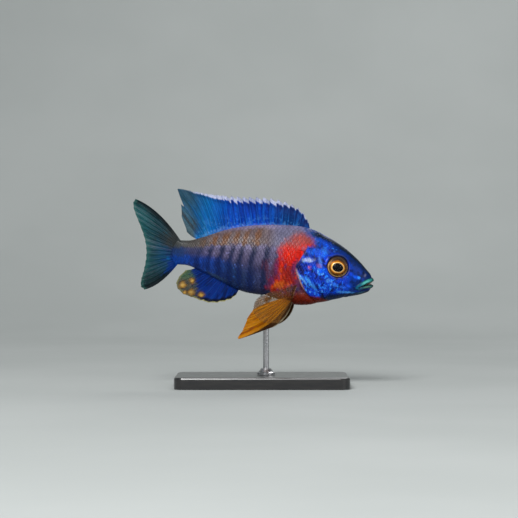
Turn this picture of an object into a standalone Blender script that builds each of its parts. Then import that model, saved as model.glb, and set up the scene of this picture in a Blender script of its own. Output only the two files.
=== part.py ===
"""A peacock cichlid at life size, swimming with its head a little low, on a rod and a flat base.

Lengths are millimetres in the fish's own frame until the last step: x runs from the tail to the snout,
y to the fish's left and z up to the back, with the body's axis along x. `posed` then bends the tail aside,
tilts the head down and lifts the fish over the base, whose underside is centred on the origin.
"""

import math

import bpy
import numpy as np

MM = 0.001
GAP = 0.3

# How the fish hangs on its stand.
HEAD_DOWN = math.radians(7)
LIFT = 62.5
BEND_START = 12.0
BEND_LENGTH = 81.0
BEND_ASIDE = 7.0

# The body's outline: back, belly, half width and the height of its widest line, each at stations along x.
SNOUT = 57.1
STALK_END = -43.0
BACK = [(-43, 7.0), (-38, 7.5), (-31.5, 10.1), (-21, 14.9), (-6, 19.2), (6, 20.8), (17, 21.4), (22.5, 20.9)]
BACK += [(28.5, 19.0), (38.5, 14.7), (48.5, 8.3), (54.5, 3.5), (57.1, 1.2)]
BELLY = [(-43, -5.5), (-38, -5.3), (-32, -6.8), (-23, -9.9), (-17.5, -11.9), (-9.5, -14.7), (6.5, -16.0)]
BELLY += [(13, -17.3), (18.5, -18.4), (24, -18.0), (36.5, -14.2), (46.5, -11.0), (52.2, -9.1), (57.1, -6.7)]
HALF_WIDTH = [(-43, 1.5), (-38, 2.5), (-31, 3.8), (-20, 6.0), (-8, 8.0), (6, 9.1), (18, 9.4), (28, 8.9)]
HALF_WIDTH += [(38, 7.7), (46, 6.2), (52, 5.1), (57.1, 4.4)]
WIDEST = [(-43, 0.7), (-20, 1.4), (0, 1.2), (18, 0.2), (34, -0.8), (48, -2.4), (57.1, -2.9)]
UPPER_POWER = [(-43, 2.0), (-20, 1.8), (10, 1.75), (28, 1.85), (40, 2.0), (57.1, 2.3)]
LOWER_POWER = [(-43, 2.0), (-20, 1.95), (10, 2.1), (30, 2.1), (57.1, 2.3)]
SNOUT_ROUNDING = 8.0
LIP_ROUNDING = 1.9
STATIONS_ALONG = 42
STATIONS_SNOUT = 12
AROUND = 28

# Thin cuts that part the flesh, as curves in the x-z plane.
GILL_EDGE = [(23.6, 26), (22.6, 17), (21.4, 10.5), (18.9, 4.9), (17.2, 0.2), (19.2, -4.6), (21.7, -9.0)]
GILL_EDGE += [(25.2, -12.8), (30, -15.2), (34.5, -17.0), (38, -20)]
CHEEK_EDGE = [(20.6, 9.9), (24.4, 9.7), (25.6, 6.2), (25.0, 1.0), (26.2, -4.2), (28.6, -8.6), (32.6, -12.4)]
COVER_BACK = 10.0
LOW_EDGE = 0.2
COVER_INNER = 2.0
GILL_COVER_THICK = 1.7
POCKET_DEEP = GILL_COVER_THICK + GAP
CORE_REACH = (4.0, 46.0)
CORE_STATIONS = 16
STALK_CUT = [(-34.4, 20), (-35.4, 6), (-35.8, 0), (-35.4, -6), (-34.4, -20)]
RIM_RAISE = 0.55
RIM_WIDTH = 4.0
CHEEK_RAISE = 0.3
CHEEK_WIDTH = 2.5
CUT_REACH = 16.0
SKIN_DEEP = 1.0

# The mouth: a wedge from its corner to the snout, and the seam from the corner down to the throat.
MOUTH_CORNER = (48.9, -6.5)
MOUTH_FRONT = (57.1, -3.1)
MOUTH_OPEN = 1.2
THROAT_SEAM = (38.6, -15.6)
LIP_UPPER = 1.25
LIP_LOWER = 1.1
LIP_CORNER = 0.45
LIP_SUNK = 0.5
LIP_CORNER_SUNK = 0.25
LIP_TURN = math.radians(97)
LIP_STEPS = 20
LIP_SIDES = 8

# Eyes and nostrils.
EYE_CENTRE = (38.4, 3.4)
EYE_RADIUS = 5.6
EYE_DEPTH = 3.3
EYE_SUNK = 2.3
CORNEA_RADIUS = 3.9
CORNEA_RISE = 0.75
EYE_SEGMENTS = 24
EYE_RINGS = 9
NOSTRIL = (51.8, 1.9)
NOSTRIL_RADIUS = 0.55

# Fins: thicknesses shared by all of them.
MEMBRANE_HALF = 0.27
RAY_HALF_ROOT = 0.6
RAY_HALF_TIP = 0.34
RAY_SHARE = 0.22

SPINES = 15
DORSAL_RAYS = 25
DORSAL_FRONT = 22.2
DORSAL_SOFT = -18.4
DORSAL_REAR = -33.8
DORSAL_SPLIT = 21
DORSAL_TIP_KEYS = (0, 1, 2, 4, 7, 10, 12, 14, 17, 20, 21, 22, 23, 24)
DORSAL_TIPS = [(20.9, 24.6), (19.9, 26.3), (17.1, 29.6), (10.5, 32.8), (-0.5, 34.3), (-11.4, 33.5), (-17.5, 33.1)]
DORSAL_TIPS += [(-23.8, 32.7), (-32.6, 32.6), (-41.4, 33.0), (-47.6, 33.0), (-44.9, 25.4), (-43.8, 19.4)]
DORSAL_TIPS += [(-40.2, 11.8)]
LAPPET = 1.6
LAPPETS_FULL_FROM = 4
DORSAL_SPLIT_DEPTH = 4.5
SOFT_NOTCH = 0.5
NEAR_NOTCH = 0.45

CAUDAL_RAYS = 17
CAUDAL_TIP_KEYS = (0, 1, 2, 4, 6, 8, 10, 12, 14, 15, 16)
CAUDAL_TIPS = [(-68.6, 25.3), (-69.5, 23.5), (-69.0, 20.6), (-65.7, 14.2), (-62.2, 7.4), (-60.0, 0.8)]
CAUDAL_TIPS += [(-59.5, -5.8), (-60.1, -12.0), (-60.6, -17.0), (-60.2, -19.2), (-58.4, -20.4)]
CAUDAL_BOW_TOP = 6.0
CAUDAL_BOW_BOTTOM = -5.2

ANAL_RAYS = 12
ANAL_SPINES = 3
ANAL_FRONT = -9.9
ANAL_REAR = -33.0
ANAL_TIPS = [(-11.4, -17.6), (-13.6, -19.9), (-16.7, -21.4), (-20.2, -22.4), (-24.6, -22.9), (-29.2, -22.3)]
ANAL_TIPS += [(-34, -21.2), (-38, -20.2), (-41.2, -17.9), (-42.4, -15.2), (-41.4, -12.0), (-38.3, -8.6)]

PELVIC_FRONT = 17.6
PELVIC_REAR = 12.9
PELVIC_ASIDE = 3.1
PELVIC_TIPS = [(9.9, -30.8), (-6.7, -38.8), (-5.4, -33.6), (-4.2, -28.4), (-1.6, -23.4), (3.4, -19.9)]
PELVIC_BOW = (7.0, -4.0)
PELVIC_SPINE_BOW = 0.45
PELVIC_SPLAY_RIGHT = math.radians(17)
PELVIC_SPLAY_LEFT = math.radians(35)
PELVIC_SWING_LEFT = math.radians(4)
PELVIC_AHEAD_LEFT = 1.3

PECTORAL_RAYS = 13
PECTORAL_TOP = (19.3, -8.0)
PECTORAL_BOTTOM = (17.6, -14.6)
PECTORAL_TIP_KEYS = (0, 3, 6, 9, 12)
PECTORAL_TIPS = [(5.6, -13.4), (-0.6, -18.6), (-1.2, -24.6), (4.0, -29.0), (11.4, -28.6)]
PECTORAL_SPLAY = math.radians(27)
PECTORAL_ROOT_HALF = 0.9

# The stand.
BASE_LENGTH = 88.0
BASE_DEPTH = 54.0
BASE_HEIGHT = 6.0
BASE_CORNER = 5.0
BASE_BEVEL = 0.9
ROD_AT = 4.0
ROD_RADIUS = 1.5
ROD_SEGMENTS = 20
SADDLE_RADIUS = 2.9
SADDLE_DROP = 4.5
COLLAR_RADIUS = 4.6
COLLAR_HEIGHT = 3.0
SOCKET_DEPTH = 3.5


def smooth(keys, values):
    """A curve through values at rising keys: cubic pieces whose slopes are read from their neighbours."""
    keys = np.array(keys, float)
    values = np.array(values, float)
    slopes = np.gradient(values, keys, axis=0)

    def at(key):
        key = np.clip(np.asarray(key, float), keys[0], keys[-1])
        i = np.clip(np.searchsorted(keys, key, side="right") - 1, 0, len(keys) - 2)
        step = keys[i + 1] - keys[i]
        t = (key - keys[i]) / step
        if values.ndim == 2:
            t, step = t[..., None], step[..., None]
        near = (2 * t**3 - 3 * t**2 + 1) * values[i] + (t**3 - 2 * t**2 + t) * step * slopes[i]
        far = (3 * t**2 - 2 * t**3) * values[i + 1] + (t**3 - t**2) * step * slopes[i + 1]
        return near + far

    return at


def along_x(points):
    """A smooth height or width over x, through a list of (x, value)."""
    return smooth(*zip(*points))


back = along_x(BACK)
belly = along_x(BELLY)
half_width = along_x(HALF_WIDTH)
widest = along_x(WIDEST)
upper_power = along_x(UPPER_POWER)
lower_power = along_x(LOWER_POWER)


def rounding(x, length):
    """A quarter circle's fall from 1 to 0 over the last `length` before the snout."""
    past = np.clip((x - (SNOUT - length)) / length, 0, 1)
    return np.sqrt(1 - past**2)


def section(x, inset=0.0):
    """Half width, widest height, height above it and depth below it of the flesh at x, less an inset."""
    middle = widest(x)
    close = rounding(x, LIP_ROUNDING)
    wide = half_width(x) * rounding(x, SNOUT_ROUNDING) - inset
    above = (back(x) - middle) * close - inset
    below = (middle - belly(x)) * close - inset
    return wide, middle, above, below


def flank(x, z):
    """How far the skin stands from the mid plane at (x, z): a superellipse read at height z."""
    wide, middle, above, below = section(x)
    over = z >= middle
    power = np.where(over, upper_power(x), lower_power(x))
    share = np.clip(np.abs(z - middle) / np.where(over, above, below), 0, 1)
    return wide * (1 - share**power) ** (1 / power)


def underside(x, y):
    """The height of the belly's skin at (x, y)."""
    wide, middle, _, below = section(x)
    power = lower_power(x)
    share = np.clip(np.abs(y) / wide, 0, 1)
    return middle - below * (1 - share**power) ** (1 / power)


def posed(points):
    """The fish frame's points on the stand: the tail eases aside, the head tilts down, and all is lifted."""
    x, y, z = np.asarray(points, float).T
    behind = np.clip((BEND_START - x) / BEND_LENGTH, 0, None)
    y = y + BEND_ASIDE * behind**2
    turned_x = x * math.cos(HEAD_DOWN) + z * math.sin(HEAD_DOWN)
    turned_z = z * math.cos(HEAD_DOWN) - x * math.sin(HEAD_DOWN)
    return np.column_stack([turned_x, y, turned_z + LIFT])


def grid_faces(rows, columns, closed):
    """Triangles of a grid of points, row by row; closed joins each row's end to its start."""
    wrap = columns if closed else columns - 1
    r, c = np.meshgrid(np.arange(rows - 1), np.arange(wrap), indexing="ij")
    a = r * columns + c
    b = r * columns + (c + 1) % columns
    d = a + columns
    e = b + columns
    first = np.stack([a, b, e], -1).reshape(-1, 3)
    second = np.stack([a, e, d], -1).reshape(-1, 3)
    return np.concatenate([first, second])


def lofted(rings):
    """A closed solid from rings of points: the first and last ring are closed by a fan to their mean."""
    rings = np.asarray(rings, float)
    rows, columns, _ = rings.shape
    points = np.concatenate([rings.reshape(-1, 3), rings[:1].mean(1), rings[-1:].mean(1)])
    start, end = rows * columns, rows * columns + 1
    c = np.arange(columns)
    after = (c + 1) % columns
    last = (rows - 1) * columns
    fans = [np.stack([after, c, np.full(columns, start)], -1)]
    fans.append(np.stack([last + c, last + after, np.full(columns, end)], -1))
    return outward(points, np.concatenate([grid_faces(rows, columns, True), *fans]))


def outward(points, faces):
    """The same solid with its faces turned to point out."""
    corners = points[faces]
    volume = np.einsum("ij,ij->i", corners[:, 0], np.cross(corners[:, 1], corners[:, 2])).sum()
    return points, faces if volume > 0 else faces[:, ::-1]


def prism_object(outline, low=-CUT_REACH, high=CUT_REACH):
    """A cutter: an x-z outline drawn from y = low to y = high, with one many-sided face at each end."""
    outline = np.array(outline, float)
    after = np.roll(outline, -1, axis=0)
    area = (outline[:, 0] * after[:, 1] - outline[:, 1] * after[:, 0]).sum()
    outline = outline if area > 0 else outline[::-1]
    count = len(outline)
    ends = [np.column_stack([outline[:, 0], np.full(count, y), outline[:, 1]]) for y in (low, high)]
    faces = [list(range(count)), list(range(2 * count - 1, count - 1, -1))]
    faces += [[(i + 1) % count, i, count + i, count + (i + 1) % count] for i in range(count)]
    return mesh_object(np.concatenate(ends), faces)


def mesh_object(points, faces, name="blank"):
    """An object in the scene from points and faces, in the units the points have."""
    mesh = bpy.data.meshes.new(name)
    mesh.from_pydata(np.asarray(points).tolist(), [], [list(face) for face in faces])
    mesh.update()
    made = bpy.data.objects.new(name, mesh)
    bpy.context.scene.collection.objects.link(made)
    return made


def carved(blank, tools, operation="DIFFERENCE", solver="EXACT"):
    """(points, faces) of an object after a Boolean with each tool; the object and the tools are removed."""
    for tool in tools:
        modifier = blank.modifiers.new("cut", "BOOLEAN")
        modifier.operation = operation
        modifier.solver = solver
        modifier.object = tool
    bpy.context.view_layer.update()
    mesh = bpy.data.meshes.new_from_object(blank.evaluated_get(bpy.context.evaluated_depsgraph_get()))
    mesh.calc_loop_triangles()
    points = np.array([v.co for v in mesh.vertices], float)
    faces = np.array([t.vertices for t in mesh.loop_triangles])
    for leftover in [blank, *tools]:
        bpy.data.objects.remove(leftover)
    return points, faces


def loose_parts(solid):
    """The separate closed bodies of a solid, the one of most triangles first."""
    points, faces = solid
    label = np.arange(len(points))
    settled = False
    while not settled:
        renewed = label.copy()
        for corner in range(3):
            np.minimum.at(renewed, faces[:, corner], label[faces].min(1))
        settled = (renewed == label).all()
        label = renewed
    bodies = []
    for value in np.unique(label[faces[:, 0]]):
        kept = faces[label[faces[:, 0]] == value]
        used, index = np.unique(kept, return_inverse=True)
        bodies.append((points[used], index.reshape(-1, 3)))
    return sorted(bodies, key=lambda body: -len(body[1]))


def largest(solid):
    """The closed body of most triangles in a solid."""
    return loose_parts(solid)[0]


def section_ring(x, inset=0.0):
    """The skin's section at x as one ring of points, less an inset."""
    angle = np.linspace(0, 2 * math.pi, AROUND, endpoint=False)
    cosine, sine = np.cos(angle), np.sin(angle)
    wide, middle, above, below = section(x, inset)
    power = np.where(sine >= 0, upper_power(x), lower_power(x))
    y = wide * np.sign(cosine) * np.abs(cosine) ** (2 / power)
    z = middle + np.where(sine >= 0, above, below) * np.sign(sine) * np.abs(sine) ** (2 / power)
    return np.column_stack([np.full(AROUND, x), y, z])


def flesh_solid():
    """The whole body without fins: superellipse sections from the tail stalk's end to the snout."""
    snout_start = SNOUT - SNOUT_ROUNDING
    trunk = np.linspace(STALK_END, snout_start, STATIONS_ALONG)
    turn = np.linspace(0, math.pi / 2, STATIONS_SNOUT + 1)[1:-1]
    snout = snout_start + SNOUT_ROUNDING * np.sin(turn)
    points, faces = lofted([section_ring(x) for x in np.concatenate([trunk, snout])])
    points[-1] = (SNOUT, 0, widest(SNOUT))
    return points, faces


def core_object(inset):
    """A cutter: what lies deeper than the inset behind the cheek, where the gill covers lie over it."""
    rings = [section_ring(x, inset) for x in np.linspace(*CORE_REACH, CORE_STATIONS)]
    return mesh_object(*lofted(rings))


def curve_through(points, count):
    """Points along a smooth open curve through a few of them, keyed by its length."""
    points = np.array(points, float)
    run = np.concatenate([[0], np.cumsum(np.linalg.norm(np.diff(points, axis=0), axis=1))])
    return smooth(run, points)(np.linspace(0, run[-1], count))


def sheet_outline(points, thick, count=33):
    """The outline of a thin cut along a curve: its points set off by half the thickness to each side."""
    line = curve_through(points, count)
    along = np.gradient(line, axis=0)
    across = np.column_stack([-along[:, 1], along[:, 0]]) / np.linalg.norm(along, axis=1)[:, None]
    return np.concatenate([line + across * thick / 2, (line - across * thick / 2)[::-1]])


def mouth_outline():
    """The open mouth as a wedge, with the thin seam behind its corner that frees the lower jaw."""
    corner, front = np.array(MOUTH_CORNER), np.array(MOUTH_FRONT)
    along = (front - corner) / np.linalg.norm(front - corner)
    across = np.array([-along[1], along[0]])
    ahead = front + along * 4
    seam = np.array(THROAT_SEAM) - corner
    seam_along = seam / np.linalg.norm(seam)
    seam_across = np.array([-seam_along[1], seam_along[0]])
    end = np.array(THROAT_SEAM) + seam_along * 4
    half = GAP / 2
    return [
        ahead + across * MOUTH_OPEN / 2,
        corner + across * half,
        corner - seam_across * half,
        end - seam_across * half,
        end + seam_across * half,
        corner + seam_across * half,
        corner - across * half + along * GAP,
        ahead - across * MOUTH_OPEN / 2,
    ]


def lip_solid(upper):
    """A lip: a tube laid round the snout just beside the mouth, thickest at the front, thin at the corners."""
    corner, front = np.array(MOUTH_CORNER), np.array(MOUTH_FRONT)
    slope = (front[1] - corner[1]) / (front[0] - corner[0])
    side = 1 if upper else -1
    size = LIP_UPPER if upper else LIP_LOWER
    turn = np.linspace(-LIP_TURN, LIP_TURN, LIP_STEPS + 1)
    forward = (np.cos(turn) - math.cos(LIP_TURN)) / (1 - math.cos(LIP_TURN))
    radius = LIP_CORNER + (size - LIP_CORNER) * forward
    x = SNOUT - SNOUT_ROUNDING + (SNOUT_ROUNDING - LIP_SUNK) * np.cos(turn)
    y = (half_width(x) - LIP_SUNK - LIP_CORNER_SUNK * (1 - forward)) * np.sin(turn)
    open_half = (GAP + (MOUTH_OPEN - GAP) * forward) / 2
    z = corner[1] + slope * (x - corner[0]) + side * (open_half + radius * 0.9)
    path = np.column_stack([x, y, z])
    tangent = np.gradient(path, axis=0)
    up = np.array([0, 0, 1.0])
    out = np.cross(tangent, up)
    out /= np.linalg.norm(out, axis=1)[:, None]
    angle = np.linspace(0, 2 * math.pi, LIP_SIDES, endpoint=False) + math.pi / LIP_SIDES
    ring = np.cos(angle)[None, :, None] * out[:, None] + np.sin(angle)[None, :, None] * up
    return lofted(path[:, None] + ring * radius[:, None, None])


def eye_frame(side):
    """Centre and axes of an eye: it faces along the skin's normal, sunk under the skin."""
    x, z = EYE_CENTRE
    step = 1.5
    slope_x = (flank(x + step, z) - flank(x - step, z)) / (2 * step)
    slope_z = (flank(x, z + step) - flank(x, z - step)) / (2 * step)
    facing = np.array([-slope_x, 1.0, -slope_z])
    facing /= np.linalg.norm(facing)
    centre = np.array([x, flank(x, z), z]) - facing * EYE_SUNK
    level = np.cross([0, 0, 1.0], facing)
    level /= np.linalg.norm(level)
    upright = np.cross(facing, level)
    mirror = np.array([1, side, 1])
    return centre * mirror, facing * mirror, level * mirror, upright * mirror


def turned(profile, centre, axis, first, second, segments):
    """A closed solid of revolution: profile holds (radius, height along the axis), without its two poles."""
    angle = np.linspace(0, 2 * math.pi, segments, endpoint=False)
    spoke = np.cos(angle)[:, None] * first + np.sin(angle)[:, None] * second
    rings = [centre + spoke * radius + axis * height for radius, height in profile]
    return lofted(rings)


def eye_solid(side, grow=0.0):
    """An eyeball flattened along its axis, with a raised cornea; grow makes its socket's cutter."""
    centre, facing, level, upright = eye_frame(side)
    angles = np.linspace(-math.pi / 2, math.pi / 2, EYE_RINGS + 2)[1:-1]
    profile = []
    for angle in angles:
        radius = (EYE_RADIUS + grow) * math.cos(angle)
        height = (EYE_DEPTH + grow) * math.sin(angle)
        if grow == 0 and angle > 0:
            height += CORNEA_RISE * max(0.0, 1 - (radius / CORNEA_RADIUS) ** 2)
        profile.append((radius, height))
    points, faces = turned(profile, centre, facing, level, upright, EYE_SEGMENTS)
    points[-2] = centre - facing * (EYE_DEPTH + grow)
    points[-1] = centre + facing * (EYE_DEPTH + (CORNEA_RISE if grow == 0 else grow))
    return points, faces


def nostril_cutter(side):
    """A small pit driven into the snout along the skin's normal."""
    x, z = NOSTRIL
    middle = np.array([x, side * flank(x, z), z])
    axis = np.array([0.25, side * 1.0, 0.55])
    axis /= np.linalg.norm(axis)
    first = np.cross(axis, [0, 0, 1.0])
    first /= np.linalg.norm(first)
    profile = [(NOSTRIL_RADIUS * 0.6, -0.8), (NOSTRIL_RADIUS, 0.0), (NOSTRIL_RADIUS * 1.3, 1.2)]
    return turned(profile, middle, axis, first, np.cross(axis, first), 10)


def distance_to(points, curve):
    """How far each point is from a curve in the x-z plane."""
    line = curve_through(curve, 60)
    flat = points[:, [0, 2]]
    return np.linalg.norm(flat[:, None] - line[None], axis=2).min(1)


def raised(solid, curve, height, width):
    """The same solid with its skin lifted aside near a curve, so that an edge stands proud."""
    points, faces = solid
    near = np.clip(1 - distance_to(points, curve) / width, 0, 1)
    under_skin = flank(points[:, 0], points[:, 2]) - np.abs(points[:, 1])
    on_skin = np.clip(1 - under_skin / SKIN_DEEP, 0, 1)
    points = points.copy()
    points[:, 1] += np.sign(points[:, 1]) * height * near**2 * (3 - 2 * near) * on_skin
    return points, faces


def flesh_parts():
    """Head, lower jaw, gill covers, torso and tail stalk, parted from one body by thin cuts."""
    slits = [
        prism_object(sheet_outline(GILL_EDGE, GAP)),
        prism_object(sheet_outline(STALK_CUT, GAP, 9)),
        prism_object(mouth_outline()),
    ]
    bodies = loose_parts(carved(mesh_object(*flesh_solid()), slits))
    stalk, torso, head, jaw = sorted(bodies, key=lambda body: body[0][:, 0].mean())
    covers = [gill_cover(head, side) for side in (-1, 1)]
    hollows = [gill_pocket(side) for side in (-1, 1)]
    hollows += [mesh_object(*eye_solid(side, GAP)) for side in (-1, 1)]
    hollows += [mesh_object(*nostril_cutter(side)) for side in (-1, 1)]
    head = largest(carved(mesh_object(*head), hollows, solver="MANIFOLD"))
    head = raised(head, CHEEK_EDGE[1:], CHEEK_RAISE, CHEEK_WIDTH)
    head = with_lip(head, True)
    jaw = with_lip(jaw, False)
    return head, jaw, *covers, torso, stalk


def with_lip(flesh, upper):
    """The flesh with its lip fused on."""
    lip = mesh_object(*lip_solid(upper))
    return largest(carved(mesh_object(*flesh), [lip], "UNION", "MANIFOLD"))


def beside(side, inner):
    """The range of y from an inner depth out past the skin on one side."""
    return sorted([side * inner, side * CUT_REACH])


def gill_cover(head, side):
    """A gill cover: the shell of the head behind the cheek, its hind edge raised."""
    window = prism_object(cover_outline(0), *beside(side, COVER_INNER))
    block = mesh_object(*largest(carved(mesh_object(*head), [window], "INTERSECT")))
    shell = largest(carved(block, [core_object(GILL_COVER_THICK)]))
    return raised(shell, GILL_EDGE, RIM_RAISE, RIM_WIDTH)


def gill_pocket(side):
    """The cutter of the hollow that a gill cover lies in, wider and deeper than the cover by the gap."""
    window = prism_object(cover_outline(GAP), *beside(side, COVER_INNER - GAP))
    return mesh_object(*largest(carved(window, [core_object(POCKET_DEEP)])))


def cover_outline(grow):
    """A gill cover's outline in the x-z plane: its curved front edge, then open behind; grow widens it."""
    front = curve_through(CHEEK_EDGE, 24)
    along = np.gradient(front, axis=0)
    front = front + np.column_stack([-along[:, 1], along[:, 0]]) / np.linalg.norm(along, axis=1)[:, None] * grow
    low, high = CHEEK_EDGE[-1][1] - LOW_EDGE - grow, CHEEK_EDGE[0][1] + grow
    return np.concatenate([front, [(front[-1][0], low), (COVER_BACK, low), (COVER_BACK, high)]])


def fin_solid(roots, tips, bows, notches, rows, root_half, snap=None, spread=None):
    """A fin: a thin membrane between rays that stand as ridges in its surface.

    Each ray is a quadratic curve from its root to its tip, bowed by an offset at its middle. Behind it run two
    columns of membrane. Its row of notches says how far the margin is drawn back at the ray and at those two.
    Both faces share one grid.
    """
    count = len(roots)
    share = np.array([0, RAY_SHARE, 1 - RAY_SHARE])
    key = np.append((np.arange(count - 1)[:, None] + share).ravel(), count - 1)
    low = np.minimum(key.astype(int), count - 2)
    part = (key - low)[:, None]
    root, tip, bow = (a[low] * (1 - part) + a[low + 1] * part for a in (roots, tips, bows))
    part = part[:, 0]
    on_ray = np.abs(part - np.round(part)) < 1e-9
    drawn = np.append(notches[:-1].ravel(), notches[-1, 0])
    reach = np.linalg.norm(tip - root, axis=1)
    tip = tip - (tip - root) * (drawn / reach)[:, None]
    t = np.linspace(0, 1, rows)[:, None, None]
    centre = (1 - t) ** 2 * root + 2 * t * (1 - t) * ((root + tip) / 2 + bow) + t**2 * tip
    if spread is None:
        across = np.zeros_like(centre)
        across[..., 1] = 1
    else:
        across = np.cross(np.gradient(centre, axis=0), np.gradient(centre, axis=1))
        across /= np.linalg.norm(across, axis=2)[..., None]
        across *= np.sign(across[..., 1:2]) * spread
    t = t[..., 0]
    ray = RAY_HALF_ROOT + (RAY_HALF_TIP - RAY_HALF_ROOT) * t
    half = np.where(on_ray, ray, MEMBRANE_HALF)
    half = np.maximum(half, root_half * (1 - t / 0.2))[..., None]
    one, other = centre + across * half, centre - across * half
    if snap:
        one[0], other[0] = snap(one[0]), snap(other[0])
    columns = len(key)
    size = rows * columns
    face = grid_faces(rows, columns, False)
    rim = rim_of(rows, columns)
    ahead = np.roll(rim, -1)
    edge = [np.stack([rim, ahead, ahead + size], -1), np.stack([rim, ahead + size, rim + size], -1)]
    points = np.concatenate([one.reshape(-1, 3), other.reshape(-1, 3)])
    return outward(points, np.concatenate([face[:, ::-1], face + size, *edge]))


def soft_margin(count, depth):
    """Notches of a margin that reaches out to each ray and dips just ahead of the next."""
    return np.outer(np.full(count, depth), (0, NEAR_NOTCH, 1))


def rim_of(rows, columns):
    """The grid's border points in order, once round."""
    index = np.arange(rows * columns).reshape(rows, columns)
    return np.concatenate([index[0], index[1:, -1], index[-1, -2::-1], index[-2:0:-1, 0]])


def upright(points, y=0.0):
    """Points of the mid plane from (x, z) pairs."""
    points = np.array(points, float)
    return np.column_stack([points[:, 0], np.full(len(points), y), points[:, 1]])


def dorsal_fin():
    """Fifteen spines with pointed lappets, then soft rays drawn out to a point, with a torn notch behind it.

    A lappet rises from low behind its own spine to a point just ahead of the next.
    """
    ray = np.arange(DORSAL_RAYS)
    x = np.interp(ray, [0, SPINES - 1, DORSAL_RAYS - 1], [DORSAL_FRONT, DORSAL_SOFT, DORSAL_REAR])
    roots = upright(np.column_stack([x, back(x) + GAP]))
    tips = upright(smooth(DORSAL_TIP_KEYS, DORSAL_TIPS)(ray))
    bows = np.zeros_like(roots)
    soft = np.clip((ray - SPINES) / (DORSAL_SPLIT - SPINES), 0, 1)
    bows[:, 0] = 1.5 * soft
    bows[:, 2] = 2.2 * soft
    notches = soft_margin(DORSAL_RAYS, SOFT_NOTCH)
    lappet = LAPPET * np.clip((ray[: SPINES - 1] + 1) / LAPPETS_FULL_FROM, 0, 1)
    notches[: SPINES - 1] = np.outer(lappet, (1, 0.8, 0))
    notches[DORSAL_SPLIT] = soft_margin(1, DORSAL_SPLIT_DEPTH)
    return fin_solid(roots, tips, bows, notches, 6, 0.65)


def caudal_fin():
    """The tail fin: rays fan from the stalk's end, the outer ones bowed, to a margin that curves in."""
    ray = np.arange(CAUDAL_RAYS)
    share = ray / (CAUDAL_RAYS - 1)
    top, bottom = back(STALK_END) - 0.1, belly(STALK_END) + 0.1
    x = np.full(CAUDAL_RAYS, STALK_END - GAP)
    roots = upright(np.column_stack([x, top + (bottom - top) * share]))
    tips = upright(smooth(CAUDAL_TIP_KEYS, CAUDAL_TIPS)(ray))
    bows = np.zeros_like(roots)
    outer = (1 - 2 * share) ** 3
    bows[:, 2] = np.where(outer > 0, CAUDAL_BOW_TOP, -CAUDAL_BOW_BOTTOM) * outer
    return fin_solid(roots, tips, bows, soft_margin(CAUDAL_RAYS, 0.35), 8, 1.3)


def anal_fin():
    """Three spines and nine soft rays under the tail stalk, swept back to a blunt point."""
    ray = np.arange(ANAL_RAYS)
    x = np.linspace(ANAL_FRONT, ANAL_REAR, ANAL_RAYS)
    roots = upright(np.column_stack([x, belly(x) - GAP]))
    tips = upright(ANAL_TIPS)
    bows = np.zeros_like(roots)
    bows[:, 2] = -0.8 * ray / ANAL_RAYS
    notches = soft_margin(ANAL_RAYS, 0.4)
    notches[:ANAL_SPINES] = soft_margin(ANAL_SPINES, 0.7)
    return fin_solid(roots, tips, bows, notches, 6, 0.65)


def swung(points, pivot, angle):
    """Points turned in the x-z plane about a pivot, forwards for a positive angle."""
    x, z = points[:, 0] - pivot[0], points[:, 2] - pivot[1]
    turned_x = x * math.cos(angle) - z * math.sin(angle)
    turned_z = x * math.sin(angle) + z * math.cos(angle)
    return np.column_stack([pivot[0] + turned_x, points[:, 1], pivot[1] + turned_z])


def pelvic_fin(side):
    """A spine and five soft rays under the belly, the first ray drawn out, splayed from the mid plane."""
    ahead, splay = (PELVIC_AHEAD_LEFT, PELVIC_SPLAY_LEFT) if side > 0 else (0, PELVIC_SPLAY_RIGHT)
    x = np.linspace(PELVIC_FRONT, PELVIC_REAR, len(PELVIC_TIPS)) + ahead
    y = np.full(len(x), side * PELVIC_ASIDE)
    roots = np.column_stack([x, y, underside(x, y) - GAP])
    tips = upright(PELVIC_TIPS) + np.array([ahead, 0, 0])
    if side > 0:
        tips = swung(tips, roots[0, [0, 2]], PELVIC_SWING_LEFT)
    flat = (tips - roots) * [1, 0, 1]
    reach = np.linalg.norm(flat, axis=1) / math.cos(PELVIC_SPLAY_RIGHT)
    tips = roots + flat * math.cos(splay) / math.cos(PELVIC_SPLAY_RIGHT)
    tips[:, 1] += side * reach * math.sin(splay)
    bows = np.zeros_like(roots)
    leading = (1 - np.arange(len(x)) / len(x)) ** 2
    leading[0] *= PELVIC_SPINE_BOW
    bows[:, 0] = PELVIC_BOW[0] * leading
    bows[:, 2] = PELVIC_BOW[1] * leading

    def on_belly(points):
        points = points.copy()
        points[:, 2] = underside(points[:, 0], points[:, 1]) - GAP
        return points

    return fin_solid(roots, tips, bows, soft_margin(len(x), 0.5), 8, 0.75, on_belly, 1.0)


def pectoral_fin(side):
    """A fan of soft rays from a fleshy base behind the gill cover, held down, back and out."""
    ray = np.arange(PECTORAL_RAYS)
    share = (ray / (PECTORAL_RAYS - 1))[:, None]
    base = np.array(PECTORAL_TOP) * (1 - share) + np.array(PECTORAL_BOTTOM) * share
    roots = upright(base)
    roots[:, 1] = side * (flank(base[:, 0], base[:, 1]) + GAP)
    tips = upright(smooth(PECTORAL_TIP_KEYS, PECTORAL_TIPS)(ray))
    reach = np.linalg.norm((tips - roots)[:, [0, 2]], axis=1)
    tips[:, 1] = roots[:, 1] + side * reach * math.tan(PECTORAL_SPLAY)
    bows = np.zeros_like(roots)
    bows[:, 1] = side * 1.2
    bows[:, 2] = -0.8

    def on_flank(points):
        points = points.copy()
        points[:, 1] = side * (flank(points[:, 0], points[:, 2]) + GAP)
        return points

    notches = soft_margin(PECTORAL_RAYS, 0.3)
    return fin_solid(roots, tips, bows, notches, 7, PECTORAL_ROOT_HALF, on_flank, 1.0)


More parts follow.
